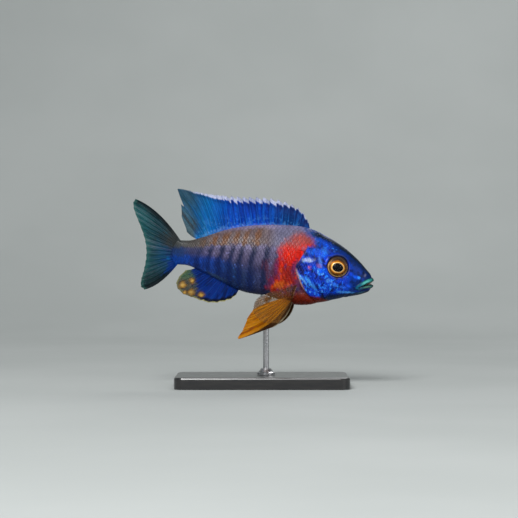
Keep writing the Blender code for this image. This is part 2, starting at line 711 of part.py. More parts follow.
def rounded_plate(length, depth, corner, height):
    """One level ring of a plate with rounded corners."""
    ring = []
    for turn, (sx, sy) in enumerate([(1, 1), (-1, 1), (-1, -1), (1, -1)]):
        for angle in np.linspace(0, math.pi / 2, 7):
            a = angle + turn * math.pi / 2
            x = sx * (length / 2 - corner) + corner * math.cos(a)
            y = sy * (depth / 2 - corner) + corner * math.sin(a)
            ring.append((x, y, height))
    return np.array(ring)


def stand_base():
    """A low plate with rounded corners, eased edges and a blind socket for the rod."""
    b = BASE_BEVEL
    levels = [(b * 0.4, 0.0), (0.0, b * 0.4), (0.0, BASE_HEIGHT - b), (b * 0.3, BASE_HEIGHT - b * 0.3)]
    levels.append((b, BASE_HEIGHT))
    rings = [
        rounded_plate(BASE_LENGTH - 2 * inset, BASE_DEPTH - 2 * inset, BASE_CORNER - inset, height)
        for inset, height in levels
    ]
    rod = rod_foot()
    low, high = BASE_HEIGHT - SOCKET_DEPTH, BASE_HEIGHT + 2
    profile = [(ROD_RADIUS + GAP, low), (ROD_RADIUS + GAP, high)]
    socket = turned(profile, rod, *np.eye(3)[[2, 0, 1]], ROD_SEGMENTS)
    return carved(mesh_object(*lofted(rings)), [mesh_object(*socket)])


def rod_foot():
    """Where the rod's axis meets the floor: straight under its place on the belly."""
    top = posed([[ROD_AT, 0, underside(ROD_AT, 0)]])[0]
    return np.array([top[0], top[1], 0.0])


def stand_rod():
    """A round rod that widens under the belly; its top face is shaped to the skin it carries."""
    foot = rod_foot()
    top = posed([[ROD_AT, 0, underside(ROD_AT, 0)]])[0][2]
    low = BASE_HEIGHT - SOCKET_DEPTH + GAP
    profile = [(ROD_RADIUS - 0.25, low), (ROD_RADIUS, low + 0.25), (ROD_RADIUS, top - SADDLE_DROP)]
    profile += [(ROD_RADIUS * 1.15, top - 3.2), (SADDLE_RADIUS * 0.8, top - 2.0), (SADDLE_RADIUS, top - 1.2)]
    profile.append((SADDLE_RADIUS, top))
    points, faces = turned(profile, foot, *np.eye(3)[[2, 0, 1]], ROD_SEGMENTS)
    ring = np.arange(len(points) - 2 - ROD_SEGMENTS, len(points) - 2)
    saddle = np.append(ring, len(points) - 1)
    points[saddle, 2] = under_posed_belly(points[saddle]) - GAP
    points[ring - ROD_SEGMENTS, 2] = points[ring, 2] - 1.0
    return points, faces


def under_posed_belly(points):
    """The height of the posed belly over floor points, found by sliding along the fish's own x."""
    x = points[:, 0].copy()
    for _ in range(8):
        aside = BEND_ASIDE * np.clip((BEND_START - x) / BEND_LENGTH, 0, None) ** 2
        skin = np.column_stack([x, points[:, 1], underside(x, points[:, 1] - aside)])
        skin[:, 1] = points[:, 1] - aside
        there = posed(skin)
        x += points[:, 0] - there[:, 0]
    return there[:, 2]


def stand_collar():
    """A turned ring round the rod where it enters the base."""
    foot = rod_foot()
    low, high = BASE_HEIGHT + GAP, BASE_HEIGHT + GAP + COLLAR_HEIGHT
    outer = [(COLLAR_RADIUS, low), (COLLAR_RADIUS, low + 0.9), (COLLAR_RADIUS * 0.82, low + 1.4)]
    outer += [(COLLAR_RADIUS * 0.62, high - 0.5), (COLLAR_RADIUS * 0.55, high)]
    bore = [(ROD_RADIUS + GAP, high), (ROD_RADIUS + GAP, low)]
    angle = np.linspace(0, 2 * math.pi, ROD_SEGMENTS, endpoint=False)
    spoke = np.column_stack([np.cos(angle), np.sin(angle), np.zeros(ROD_SEGMENTS)])
    rings = np.array([foot + spoke * radius + np.array([0, 0, height]) for radius, height in outer + bore])
    faces = grid_faces(len(rings) + 1, ROD_SEGMENTS, True) % (len(rings) * ROD_SEGMENTS)
    return outward(rings.reshape(-1, 3), faces)


def finish_of(name, colour, roughness, metallic=0.0):
    """A plain finish for one sub-part."""
    material = bpy.data.materials.new(name)
    material.use_nodes = True
    shader = material.node_tree.nodes["Principled BSDF"]
    shader.inputs["Base Color"].default_value = (*colour, 1)
    shader.inputs["Roughness"].default_value = roughness
    shader.inputs["Metallic"].default_value = metallic
    return material


def add_node(name, solid, material):
    """The named object of one sub-part, in metres."""
    made = mesh_object(solid[0] * MM, solid[1], name)
    made.data.materials.append(material)
    made.data.shade_smooth()
    made.data.set_sharp_from_angle(angle=math.radians(40))


def main():
    for leftover in list(bpy.data.objects):
        bpy.data.objects.remove(leftover)
    blue_head = finish_of("blue_head", (0.02, 0.10, 0.62), 0.35)
    red_flank = finish_of("red_flank", (0.42, 0.16, 0.16), 0.4)
    slate_stalk = finish_of("slate_stalk", (0.07, 0.12, 0.34), 0.4)
    blue_fin = finish_of("blue_fin", (0.02, 0.13, 0.55), 0.4)
    teal_fin = finish_of("teal_fin", (0.05, 0.15, 0.17), 0.45)
    orange_fin = finish_of("orange_fin", (0.55, 0.22, 0.03), 0.45)
    tan_fin = finish_of("tan_fin", (0.5, 0.27, 0.15), 0.45)
    gold_eye = finish_of("gold_eye", (0.5, 0.28, 0.05), 0.15)
    black_base = finish_of("black_base", (0.02, 0.02, 0.022), 0.4)
    steel_rod = finish_of("steel_rod", (0.55, 0.55, 0.56), 0.3, 1.0)

    head, jaw, cover_right, cover_left, torso, stalk = flesh_parts()
    flesh = {
        "head": (head, blue_head),
        "lower_jaw": (jaw, blue_head),
        "gill_cover_right": (cover_right, blue_head),
        "gill_cover_left": (cover_left, blue_head),
        "torso": (torso, red_flank),
        "tail_stalk": (stalk, slate_stalk),
        "eye_right": (eye_solid(-1), gold_eye),
        "eye_left": (eye_solid(1), gold_eye),
        "dorsal_fin": (dorsal_fin(), blue_fin),
        "caudal_fin": (caudal_fin(), teal_fin),
        "anal_fin": (anal_fin(), blue_fin),
        "pelvic_fin_right": (pelvic_fin(-1), orange_fin),
        "pelvic_fin_left": (pelvic_fin(1), orange_fin),
        "pectoral_fin_right": (pectoral_fin(-1), tan_fin),
        "pectoral_fin_left": (pectoral_fin(1), tan_fin),
    }
    for name, ((points, faces), material) in flesh.items():
        add_node(name, outward(posed(points), faces), material)
    add_node("stand_base", stand_base(), black_base)
    add_node("stand_rod", stand_rod(), steel_rod)
    add_node("stand_collar", stand_collar(), steel_rod)


if __name__ == "__main__":
    main()
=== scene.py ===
"""A male peacock cichlid as a life-size museum model, on a slim rod over a plain black base.

Lengths are in millimetres of the fish's own frame (x to the snout, y to its left, z up) until `posed` sets
them on the stand. One skin covers head and body, and scales lie over it as thin shells.
"""
import math
from types import SimpleNamespace

import bpy
import numpy as np
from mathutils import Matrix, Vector


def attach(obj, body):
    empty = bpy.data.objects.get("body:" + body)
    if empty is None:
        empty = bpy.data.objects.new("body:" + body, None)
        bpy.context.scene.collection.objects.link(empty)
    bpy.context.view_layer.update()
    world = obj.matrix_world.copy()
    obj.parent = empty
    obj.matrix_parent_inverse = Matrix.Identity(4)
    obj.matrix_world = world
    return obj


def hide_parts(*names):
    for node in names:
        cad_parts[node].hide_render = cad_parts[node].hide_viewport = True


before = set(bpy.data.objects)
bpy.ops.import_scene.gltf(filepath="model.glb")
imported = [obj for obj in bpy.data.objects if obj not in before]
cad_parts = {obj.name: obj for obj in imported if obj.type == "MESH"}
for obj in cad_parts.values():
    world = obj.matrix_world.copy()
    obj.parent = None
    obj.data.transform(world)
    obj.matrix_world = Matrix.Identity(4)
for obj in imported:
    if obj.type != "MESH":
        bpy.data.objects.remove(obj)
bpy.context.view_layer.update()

# How the fish is held.
HEAD_DOWN = math.radians(7)
LIFT = 62.5
BEND_START, BEND_LENGTH, BEND_ASIDE = 12.0, 81.0, 7.0

SIDE_NAMES = {-1: "right", 1: "left"}

# The body's outline and sections, as (x, value).
SNOUT = 57.1
STALK_END = -43.0
BACK = [(-43, 7.0), (-38, 7.5), (-31.5, 10.1), (-21, 14.9), (-6, 19.2), (6, 20.8), (17, 21.4), (22.5, 20.9)]
BACK += [(28.5, 19.0), (38.5, 14.7), (48.5, 8.1), (54.5, 2.7), (57.1, 0.3)]
BELLY = [(-43, -5.5), (-38, -5.3), (-32, -6.8), (-23, -9.9), (-17.5, -11.9), (-9.5, -14.7), (6.5, -16.0)]
BELLY += [(13, -17.3), (18.5, -18.4), (24, -18.0), (36.5, -14.2), (46.5, -11.0), (52.2, -9.1), (57.1, -6.7)]
HALF_WIDTH = [(-43, 1.5), (-38, 2.5), (-31, 3.8), (-20, 6.0), (-8, 8.0), (6, 9.1), (18, 9.4), (28, 8.9)]
HALF_WIDTH += [(38, 7.7), (46, 6.2), (52, 5.1), (57.1, 4.4)]
WIDEST = [(-43, 0.7), (-20, 1.4), (0, 1.2), (18, 0.2), (34, -0.8), (48, -2.4), (57.1, -2.9)]
UPPER_POWER = [(-43, 2.0), (-20, 1.8), (10, 1.75), (28, 1.85), (40, 2.0), (57.1, 2.3)]
LOWER_POWER = [(-43, 2.0), (-20, 1.95), (10, 2.1), (30, 2.1), (57.1, 2.3)]
SNOUT_ROUNDING = 8.0
LIP_ROUNDING = 1.9
CAP_THINNING = 0.82

# Edges on the head, in the x-z plane.
GILL_EDGE = [(23.6, 26), (22.6, 17), (21.4, 10.5), (18.9, 4.9), (17.2, 0.2), (19.2, -4.6), (21.7, -9.0)]
GILL_EDGE += [(25.2, -12.8), (30, -15.2), (34.5, -17.0), (38, -20)]
CHEEK_EDGE = [(20.6, 9.9), (24.4, 9.7), (25.6, 6.2), (25.0, 1.0), (26.2, -4.2), (28.6, -8.6), (32.6, -12.4)]
MOUTH_CORNER = (50.3, -6.2)
MOUTH_SLOPE = 0.50
MOUTH_ARCH = 0.4
MOUTH_REACH = 6.75
MOUTH_HALF = 0.72
LINING_DEEP, LINING_END = 1.0, 50.8
LIP_CREST = 0.42
JAW_LINE = [MOUTH_CORNER, (46.2, -9.4), (42.6, -12.6), (38.6, -15.6)]
JAW_FOLD = [(49.0, -5.4), (46.6, -4.6), (44.6, -5.0), (43.4, -6.4)]
EYE_CENTRE = (38.4, 3.4)
EYE_SUNK = 2.3
EYE_RADIUS = 5.6
EYE_CURVE = 5.85
EYE_BEHIND = 5
NOSTRIL = (51.8, 1.9)
PECTORAL_TOP = (19.3, -8.0)
PECTORAL_BOTTOM = (17.6, -14.6)

# The skin's grid, and the section whose arcs its columns share out evenly.
MIDDLING_X, ARC_STEPS = 12.0, 600
QUARTER = 72
COLUMNS = 4 * QUARTER
TAIL_CAP = -46.4
HEAD_START = 37.5
TRUNK_ROWS = 165
EDGE_ROWS = 13
EDGE_REACH, EDGE_REARMOST, EDGE_FOREMOST, EDGE_STEPS = 1.0, 10, 33.0, 500
CHEEK_ROWS = 36
SNOUT_ROWS, CHORD_STEPS = 62, 260
LIP_ROWS = 16
LIP_ZONE = 3.2
MOUTH_PLACES, MOUTH_NEAR = 361, 8
COAT_DEPTH = 0.16

# A distance that stands for out of reach.
FAR = 99.0

# The values and multipliers that the noise is drawn from.
LATTICE_VALUES = 4096
LATTICE_PRIMES = np.array([73856093, 19349663, 83492791])


def smooth(keys, values):
    """A curve through values at rising keys: cubic pieces whose slopes are read from their neighbours."""
    keys = np.array(keys, float)
    values = np.array(values, float)
    slopes = np.gradient(values, keys, axis=0)

    def at(key):
        key = np.clip(np.asarray(key, float), keys[0], keys[-1])
        i = np.clip(np.searchsorted(keys, key, side="right") - 1, 0, len(keys) - 2)
        gap = keys[i + 1] - keys[i]
        t = (key - keys[i]) / gap
        if values.ndim == 2:
            t, gap = t[..., None], gap[..., None]
        near = (2 * t**3 - 3 * t**2 + 1) * values[i] + (t**3 - 2 * t**2 + t) * gap * slopes[i]
        far = (3 * t**2 - 2 * t**3) * values[i + 1] + (t**3 - t**2) * gap * slopes[i + 1]
        return near + far

    return at


def along_x(points):
    """A smooth height or width over x, through a list of (x, value)."""
    return smooth(*zip(*points))


back = along_x(BACK)
belly = along_x(BELLY)
half_width = along_x(HALF_WIDTH)
widest = along_x(WIDEST)
upper_power = along_x(UPPER_POWER)
lower_power = along_x(LOWER_POWER)
gill_x = along_x([(z, x) for x, z in reversed(GILL_EDGE)])


def step(value, low, high):
    """0 below low, 1 above high, an even S-curve between."""
    t = np.clip((value - low) / (high - low), 0, 1)
    return t * t * (3 - 2 * t)


def hump(value, middle, half):
    """1 at the middle, falling as a bell curve; half is the distance at which 0.37 is left."""
    return np.exp(-(((value - middle) / half) ** 2))


def arch(offset, half):
    """A half circle's rise: 1 at no offset, 0 at half and beyond."""
    return np.sqrt(np.clip(1 - (offset / half) ** 2, 0, 1))


def run_length(line):
    """Distance run along a line of places, or along many at once; lines run along the first axis."""
    steps = np.linalg.norm(np.diff(line, axis=0), axis=-1)
    return np.concatenate([np.zeros((1,) + steps.shape[1:]), np.cumsum(steps, axis=0)])


def unit(vectors):
    """Vectors brought to length one."""
    return vectors / (np.linalg.norm(vectors, axis=-1, keepdims=True) + 1e-12)


def turned_outwards(normal, outwards):
    """Normals turned round where they face the other way."""
    return normal * np.where((normal * outwards).sum(-1, keepdims=True) < 0, -1, 1)


def rounding(x, length):
    """A quarter circle's fall from 1 to 0 over the last `length` before the snout."""
    past = np.clip((x - (SNOUT - length)) / length, 0, 1)
    return np.sqrt(1 - past**2)


def section(x):
    """Half width, widest height, height above it and depth below it of the body at x."""
    middle = widest(x)
    close = rounding(x, LIP_ROUNDING)
    past_stalk = np.clip((STALK_END - x) / (STALK_END - TAIL_CAP), 0, 1)
    wide = half_width(x) * rounding(x, SNOUT_ROUNDING) * (1 - CAP_THINNING * past_stalk**1.2)
    return wide, middle, (back(x) - middle) * close, (middle - belly(x)) * close


def flank(x, z):
    """How far the skin stands from the mid plane at (x, z): a superellipse read at height z."""
    wide, middle, above, below = section(x)
    over = z >= middle
    power = np.where(over, upper_power(x), lower_power(x))
    share = np.clip(np.abs(z - middle) / np.where(over, above, below), 0, 1)
    return wide * (1 - share**power) ** (1 / power)


def underside(x, y):
    """The height of the belly's skin at (x, y)."""
    wide, middle, _, below = section(x)
    power = lower_power(x)
    share = np.clip(np.abs(y) / wide, 0, 1)
    return middle - below * (1 - share**power) ** (1 / power)


def even_angles():
    """Section angles that part each quarter of a middling section into equal arcs, keyed by column."""
    keys, angles = [np.zeros(1)], [np.zeros(1)]
    for quarter in range(4):
        angle = np.linspace(0, math.pi / 2, ARC_STEPS) + quarter * math.pi / 2
        run = run_length(section_point(np.full(ARC_STEPS, MIDDLING_X), angle))
        keys.append(quarter * QUARTER + run[1:] / run[-1] * QUARTER)
        angles.append(angle[1:])
    return np.concatenate(keys), np.concatenate(angles)


def section_point(x, angle):
    """A place on the superellipse section at x: angle 0 faces left, a quarter turn up, a half turn right."""
    wide, middle, above, below = section(x)
    over = np.sin(angle) >= 0
    power = 2 / np.where(over, upper_power(x), lower_power(x))
    level, rise = np.cos(angle), np.sin(angle)
    y = wide * np.sign(level) * np.abs(level) ** power
    z = middle + np.where(over, above, below) * np.sign(rise) * np.abs(rise) ** power
    return np.stack([x + 0 * y, y, z], -1)


ANGLE_KEYS, ANGLES = even_angles()


def body_point(x, column):
    """A place on the body by x and by column round the section; columns may be fractions."""
    return section_point(x, np.interp(np.mod(column, COLUMNS), ANGLE_KEYS, ANGLES))


def body_normal(x, column):
    """The way the body's skin faces at a place: across two short steps, turned outwards."""
    along = body_point(x + 0.15, column) - body_point(x - 0.15, column)
    round_it = body_point(x, column + 0.3) - body_point(x, column - 0.3)
    outwards = body_point(x, column) - np.stack([x, 0 * x, widest(x)], -1)
    return turned_outwards(unit(np.cross(along, round_it)), outwards)


def posed(points):
    """The fish's places on the stand: the tail eases aside, the head tilts down, and all is lifted."""
    x, y, z = np.asarray(points, float).reshape(-1, 3).T
    behind = np.clip((BEND_START - x) / BEND_LENGTH, 0, None)
    y = y + BEND_ASIDE * behind**2
    level = x * math.cos(HEAD_DOWN) + z * math.sin(HEAD_DOWN)
    height = z * math.cos(HEAD_DOWN) - x * math.sin(HEAD_DOWN)
    return np.column_stack([level, y, height + LIFT])


def lattice_noise(points, size, seed):
    """Smooth chance values from 0 to 1: numbers drawn for a cubic lattice's corners, eased between them."""
    table = np.random.default_rng(seed).random(LATTICE_VALUES)
    at = np.asarray(points) / size
    low = np.floor(at).astype(np.int64)
    part = at - low
    part = part * part * (3 - 2 * part)
    total = np.zeros(at.shape[:-1])
    for corner in np.ndindex(2, 2, 2):
        key = (low + np.array(corner)) @ LATTICE_PRIMES
        weight = np.prod(np.where(np.array(corner) == 1, part, 1 - part), axis=-1)
        total += weight * table[(key ^ (key >> 9)) % LATTICE_VALUES]
    return total


def broken_noise(points, size, seed):
    """Three layers of lattice noise, each at half the size and half the strength of the one before."""
    layers = [lattice_noise(points, size / 2**i, seed + i) / 2**i for i in range(3)]
    return sum(layers) / 1.75


def uneven(points, size, seed):
    """Broken noise as a change to both sides, from -0.5 to 0.5."""
    return broken_noise(points, size, seed) - 0.5


def screen(red, green, blue):
    """A colour named in 0 to 255 steps of a screen, as linear light."""
    value = np.array([red, green, blue]) / 255
    return np.where(value <= 0.04045, value / 12.92, ((value + 0.055) / 1.055) ** 2.4)


# Colours of the living fish, in 0 to 255 steps of a screen.
LAVENDER, LAVENDER_PALE = (68, 66, 102), (142, 134, 176)
TAN, TAN_PALE = (124, 107, 104), (158, 143, 144)
BROWN = (112, 70, 38)
LILAC = (124, 114, 146)
SLATE, SLATE_BLUE = (18, 30, 66), (0, 26, 86)
NAVY_TEAL, DEEP_BLUE = (14, 50, 98), (0, 64, 162)
BELLY_GREY = (44, 48, 78)
HEAD_BLUE, HEAD_NAVY, HEAD_CYAN = (0, 58, 198), (0, 14, 84), (36, 132, 244)
SNOUT_BLUE = (0, 42, 118)
NAPE_BLUE, NAPE_PALE = (26, 80, 146), (92, 138, 190)
BROW_DARK = (2, 20, 32)
RED, RED_SOFT, RED_DARK, ORANGE = (208, 20, 0), (160, 70, 68), (100, 6, 14), (212, 88, 16)
RUST = (118, 30, 6)
TURQUOISE, TURQUOISE_PALE = (14, 108, 104), (88, 180, 174)
OLIVE_LIP, OLIVE_PALE = (28, 78, 84), (92, 146, 122)
LIP_COLOURS = ((TURQUOISE, OLIVE_LIP), (TURQUOISE_PALE, OLIVE_PALE))
# The mouth's lining: near black as painted shade deep inside, paler near the lips.
MOUTH_SHADE, MOUTH_PALE = (2, 20, 30), (150, 142, 134)
RIM_PALE = (236, 184, 174)
PALE_SPARK = (190, 208, 250)

# Bars along the flank: x of each dark middle and of the pale places between, at the body's mid height.
BAR_X = [-36, -32.8, -30.2, -27.3, -24.7, -21.7, -18.9, -16.4, -13.9]
BAR_X += [-11.8, -8.8, -6.0, -1.7, 1.1, 4.6, 7.7, 10.5]
BAR_DARK = [0, 1, 0, 1, 0, 1, 0, 1, 0, 1, 0, 1, 0, 1, 0, 0.7, 0]

# Patches, in millimetres level and upright from the body's middle as the model stands:
# (level, upright, half length, half height, turn in degrees), on the head also colour and strength.
COLLAR = [(20.3, 11.5, 6.8, 4.5, -8), (15.3, 5.1, 7.2, 7.6, 20), (12.8, -4.1, 6.4, 8.2, 12)]
COLLAR += [(8.7, -10.2, 6.2, 4.9, 20)]
COLLAR_WASH = (5.8, -3.5, 5.4, 7.5, 12)
COLLAR_ORANGE = (9.4, -10.8, 5.2, 2.6, 10)
BREAST_RUST = (22.0, -18.6, 13.0, 3.4, -4)
FLANK_SHADOW = (-23.4, -6.4, 6.2, 1.1, -28)
PATCHES = [
    (23.4, 2.0, 3.4, 1.2, 0, PALE_SPARK, 0.85),
    (23.7, -1.8, 0.8, 1.2, 0, (196, 90, 110), 0.8),
    (28.8, -0.9, 1.6, 1.4, 0, (168, 100, 128), 0.55),
    (18.9, -2.0, 1.9, 2.8, 25, (3, 8, 74), 0.92),
    (20.3, -7.4, 0.55, 3.7, 39, (120, 196, 255), 0.9),
    (23.6, -8.6, 0.8, 3.4, 35, (70, 168, 255), 0.8),
    (26.4, -11.6, 0.9, 3.2, 30, (60, 150, 255), 0.65),
    (33.4, -8.6, 1.5, 1.1, 0, (70, 150, 255), 0.8),
    (36.9, -10.6, 1.7, 1.0, -25, (50, 130, 255), 0.85),
    (41.0, -11.8, 2.1, 0.8, -12, (40, 112, 250), 0.8),
    (42.3, -14.3, 5.0, 0.6, -4, (70, 152, 240), 0.9),
    (47.6, -6.7, 2.4, 1.1, -22, (12, 88, 240), 0.75),
    (49.0, -7.0, 0.9, 0.9, 0, (40, 138, 255), 0.85),
    (45.0, -5.0, 2.0, 1.0, -30, (8, 66, 214), 0.7),
    (43.6, -11.1, 1.8, 0.9, -30, (22, 84, 232), 0.75),
    (50.2, -14.5, 2.4, 0.4, 14, (46, 104, 132), 0.7),
    (52.5, -5.7, 0.6, 0.9, -30, (108, 112, 142), 0.6),
    (19.6, -12.2, 1.5, 2.7, 20, (92, 14, 44), 0.9),
    (9.7, -10.6, 5.0, 2.6, 10, ORANGE, 0.75),
    (29.4, 1.4, 1.0, 3.6, 12, (84, 146, 255), 0.55),
    (31.6, 6.4, 2.2, 2.2, 0, (40, 130, 250), 0.5),
    (26.0, 6.2, 3.6, 1.8, 10, (24, 104, 240), 0.5),
]


def side_view(points):
    """Level and upright distance of places from the body's middle as the model stands."""
    x, _, z = np.moveaxis(points, -1, 0)
    level = x * math.cos(HEAD_DOWN) + z * math.sin(HEAD_DOWN)
    return level, z * math.cos(HEAD_DOWN) - x * math.sin(HEAD_DOWN)


def oval(level, upright, patch):
    """1 at the middle of a turned oval, 0 at its rim, below 0 beyond."""
    middle_x, middle_z, half_x, half_z, turn = patch
    angle = math.radians(turn)
    a, b = level - middle_x, upright - middle_z
    along = (a * math.cos(angle) + b * math.sin(angle)) / half_x
    across = (b * math.cos(angle) - a * math.sin(angle)) / half_z
    return 1 - np.sqrt(along**2 + across**2)


def line_distance(x, z, points, count=60):
    """Distance in the x-z plane to a smooth line through points, positive to the line's right."""
    points = np.array(points, float)
    run = run_length(points)
    line = smooth(run, points)(np.linspace(0, run[-1], count))
    best = np.full(np.shape(x), 1e9)
    side = np.zeros(np.shape(x))
    for start, end in zip(line[:-1], line[1:]):
        along = end - start
        reach = np.linalg.norm(along)
        a, b = x - start[0], z - start[1]
        t = np.clip((a * along[0] + b * along[1]) / reach**2, 0, 1)
        gap = np.hypot(a - t * along[0], b - t * along[1])
        nearer = gap < best
        best = np.where(nearer, gap, best)
        side = np.where(nearer, np.sign(b * along[0] - a * along[1]), side)
    return best * side


def eye_frame(side):
    """Place on the skin and axes of an eye: it faces along the skin's normal."""
    x, z = EYE_CENTRE
    slope_x = (flank(x + 1.5, z) - flank(x - 1.5, z)) / 3
    slope_z = (flank(x, z + 1.5) - flank(x, z - 1.5)) / 3
    facing = np.array([-slope_x, 1.0, -slope_z])
    facing /= np.linalg.norm(facing)
    level = np.cross([0, 0, 1.0], facing)
    level /= np.linalg.norm(level)
    upright = np.cross(facing, level)
    mirror = np.array([1, side, 1])
    return np.array([x, flank(x, z), z]) * mirror, facing * mirror, level * mirror, upright * mirror


def eye_radius(points):
    """Distance of places from the axis of the eye on their own side; far from both eyes it is large."""
    mirrored = np.abs(points * [0, 1, 0]) + points * [1, 0, 1]
    place, facing, _, _ = eye_frame(1)
    offset = mirrored - place
    depth = offset @ facing
    radius = np.sqrt(np.maximum((offset**2).sum(-1) - depth**2, 0))
    return np.where(depth > -EYE_BEHIND, radius, FAR)


def gill_distance(x, z):
    """Distance ahead of the gill cover's hind edge, negative behind it."""
    return line_distance(x, z, GILL_EDGE)


def nostril_distance(x, z):
    """Distance from the nostril's middle, seen from the side."""
    return np.hypot(x - NOSTRIL[0], z - NOSTRIL[1])


def raised_edge(distance, height, sharp, flat, gone):
    """A plate ahead of its hind edge: up to its height within `sharp`, easing down from `flat` to `gone`."""
    rise = np.sqrt(np.clip(distance / sharp, 0, 1))
    return np.where(distance > 0, height * rise * (1 - step(distance, flat, gone)), 0)


def eye_relief(radius):
    """The socket round an eye: a deep bowl, a raised ring outside it and a faint furrow outside that."""
    bowl = -2.6 * (1 - step(radius, 5.15, 5.75))
    return bowl + 0.28 * hump(radius, 6.15, 0.45) - 0.12 * hump(radius, 7.3, 0.6)


def relief(points):
    """How far the skin stands out of or sinks into the plain body, at covers, cheek, jaw, eye and nostril."""
    x, _, z = np.moveaxis(points, -1, 0)
    ahead = gill_distance(x, z)
    groove = -0.38 * np.exp(np.minimum(ahead, 0) / 0.7) * (ahead <= 0)
    cover = raised_edge(ahead, 0.6, 0.45, 1.0, 5.0) + groove
    height = cover * step(z, 12.5, 9.0) * step(z, -16.4, -13.0)
    cheek = line_distance(x, z, CHEEK_EDGE)
    height += raised_edge(cheek, 0.3, 0.4, 0.8, 3.2) - 0.16 * hump(cheek, -0.2, 0.4) * step(z, 11, 8)
    height -= 0.22 * hump(line_distance(x, z, JAW_LINE), 0, 0.4) * step(x, 38.0, 41.0)
    height -= 0.12 * hump(line_distance(x, z, JAW_FOLD), 0, 0.45)
    radius = eye_radius(points)
    clear_of_eye = step(radius, 5.6, 7.2)
    height = height * clear_of_eye + eye_relief(radius)
    pit = nostril_distance(x, z)
    height += np.where(pit < 2, 0.1 * hump(pit, 0.85, 0.3) - 0.55 * hump(pit, 0, 0.42), 0)
    low, high = np.array(PECTORAL_BOTTOM), np.array(PECTORAL_TOP)
    base = line_distance(x + 0.3, z, [low, (low + high) / 2, high], 8)
    height += 0.55 * hump(base, 0, 1.5)
    return height + 0.05 * (lattice_noise(points, 5.0, 5) - 0.5) * clear_of_eye


def lay(under, over, mask):
    """One colour over another, as far as the mask says; three plain numbers are a colour of a screen."""
    under, over = (screen(*colour) if isinstance(colour, tuple) else colour for colour in (under, over))
    return under + (over - under) * np.clip(mask, 0, 1)[..., None]


def body_values(points):
    """What the trunk's colours follow: places, noise, height shares above and below the middle, and bars."""
    at = SimpleNamespace()
    at.x, _, z = np.moveaxis(points, -1, 0)
    at.level, at.upright = side_view(points)
    at.fine = uneven(points, 1.1, 23)
    coarse = uneven(points, 3.2, 11)
    _, middle, above, below = section(at.x)
    at.high = (z - middle) / above + 0.14 * coarse
    at.low = (middle - z) / below + 0.12 * coarse
    lean = np.interp(at.x, [-34, -5, 8], [-0.26, -0.15, -0.05])
    leant = at.x + lean * (np.maximum(z, -1) - 1) + 0.12 * np.minimum(z + 1, 0)
    bar = np.interp(leant + 0.8 * coarse + 0.9 * at.fine, BAR_X, BAR_DARK)
    at.bar = step(bar + 0.6 * at.fine, 0.2, 0.85)
    at.streak = step(broken_noise(points * [1, 1, 0.14], 0.9, 61), 0.44, 0.56)
    return at


def flank_paint(at):
    """Lavender with slate bars up to a pale row, blue to the rear and grey along the belly."""
    x, high, low = at.x, at.high, at.low
    to_blue = step(-x, 6, 25) * step(high, 0.10, -0.26) + 0.85 * step(low, -0.05, 0.6) * step(-x, -8, 8)
    to_blue = np.clip(to_blue, 0, 1)
    blue = lay(NAVY_TEAL, DEEP_BLUE, step(-x, 12, 30))
    ground = lay(LAVENDER, (48, 44, 76), 0.7 * at.streak)
    ground = lay(ground, lay(blue, SLATE_BLUE, 0.5 * at.streak), 0.88 * to_blue)
    fleck = lay((112, 108, 152), (14, 92, 184), 0.9 * to_blue)
    ground = lay(ground, BELLY_GREY, 0.6 * step(low, 0.6, 0.95) * (1 - 0.8 * to_blue))
    bars = at.bar * step(high, 0.47, 0.38) * (1 - 0.35 * step(low, 0.7, 1))
    ground = lay(ground, lay(SLATE, SLATE_BLUE, to_blue), 0.78 * bars)
    row = step(high, -0.30, 0.18) * step(high, 0.47, 0.38) * step(x, -40, -28) * (1 - 0.5 * step(x, 2, 9))
    ground = lay(ground, LILAC, 0.46 * row * (1 - at.bar))
    top_line = hump(high, 0.38, 0.05) * (1 - 0.8 * at.bar) * step(x, -36, -26)
    ground = lay(ground, LAVENDER_PALE, 0.4 * top_line)
    shadow = step(oval(at.level, at.upright, FLANK_SHADOW) + 0.6 * at.fine, -0.1, 0.5)
    return lay(ground, (62, 86, 106), 0.5 * shadow), fleck, 0.24 * (1 - 0.85 * bars)


def upper_paint(at, ground, fleck, share):
    """Tan with brown bars above the pale row, its lower part darkened as painted shade, grey behind the nape
    and paler along the back.
    """
    upper = step(at.high + 0.2 * at.fine, 0.38, 0.48)
    tan = lay(TAN, (94, 76, 82), 0.55 * at.streak)
    # Painted shade: the tan's lower part is darkened where the key light falls full on the flank.
    tan = lay(tan, (92, 76, 72), 0.5 * step(at.high, 0.78, 0.5))
    ground = lay(ground, tan, 0.9 * upper)
    brown = upper * step(at.high, 0.98, 0.70) * step(at.bar + 0.3 * at.fine, 0.2, 0.7) * step(at.x, 5, -4)
    ground = lay(ground, BROWN, 0.88 * brown)
    ground = lay(ground, (108, 108, 138), 0.85 * upper * step(at.x, -2, 8))
    pale = step(at.high + 0.12 * at.fine, 0.86, 0.98) * step(at.x, -26, -14)
    ground = lay(ground, LAVENDER_PALE, 0.55 * pale)
    return ground, lay(fleck, TAN_PALE, upper), share * (1 - 0.6 * upper) * (1 - 0.7 * brown)


def stalk_paint(points, at, ground, share):
    """The tail stalk: dim blue on its flank, grey brown above, the tail fin's own colours at its end."""
    stalk = step(-at.x, 24, 35)
    ground = lay(ground, (52, 58, 100), 0.7 * stalk * step(at.high, -0.35, 0.0) * step(at.high, 0.55, 0.3))
    ground = lay(ground, (72, 70, 66), 0.85 * stalk * step(at.high + 0.5 * at.fine, 0.2, 0.6))
    ground = lay(ground, stalk_end_paint(points), step(-at.x + 6 * at.fine, 36, 43))
    return ground, share * (1 - 0.75 * stalk)


def body_paint(points):
    """Ground colour, fleck colour and share of flecks of the trunk, with its red-brown front belly."""
    at = body_values(points)
    ground, fleck, share = upper_paint(at, *flank_paint(at))
    ground, share = stalk_paint(points, at, ground, share)
    front_belly = step(at.x, 6, 12) * step(at.upright, -12.5, -15.5)
    return lay(ground, (134, 56, 26), 0.8 * front_belly), fleck, share


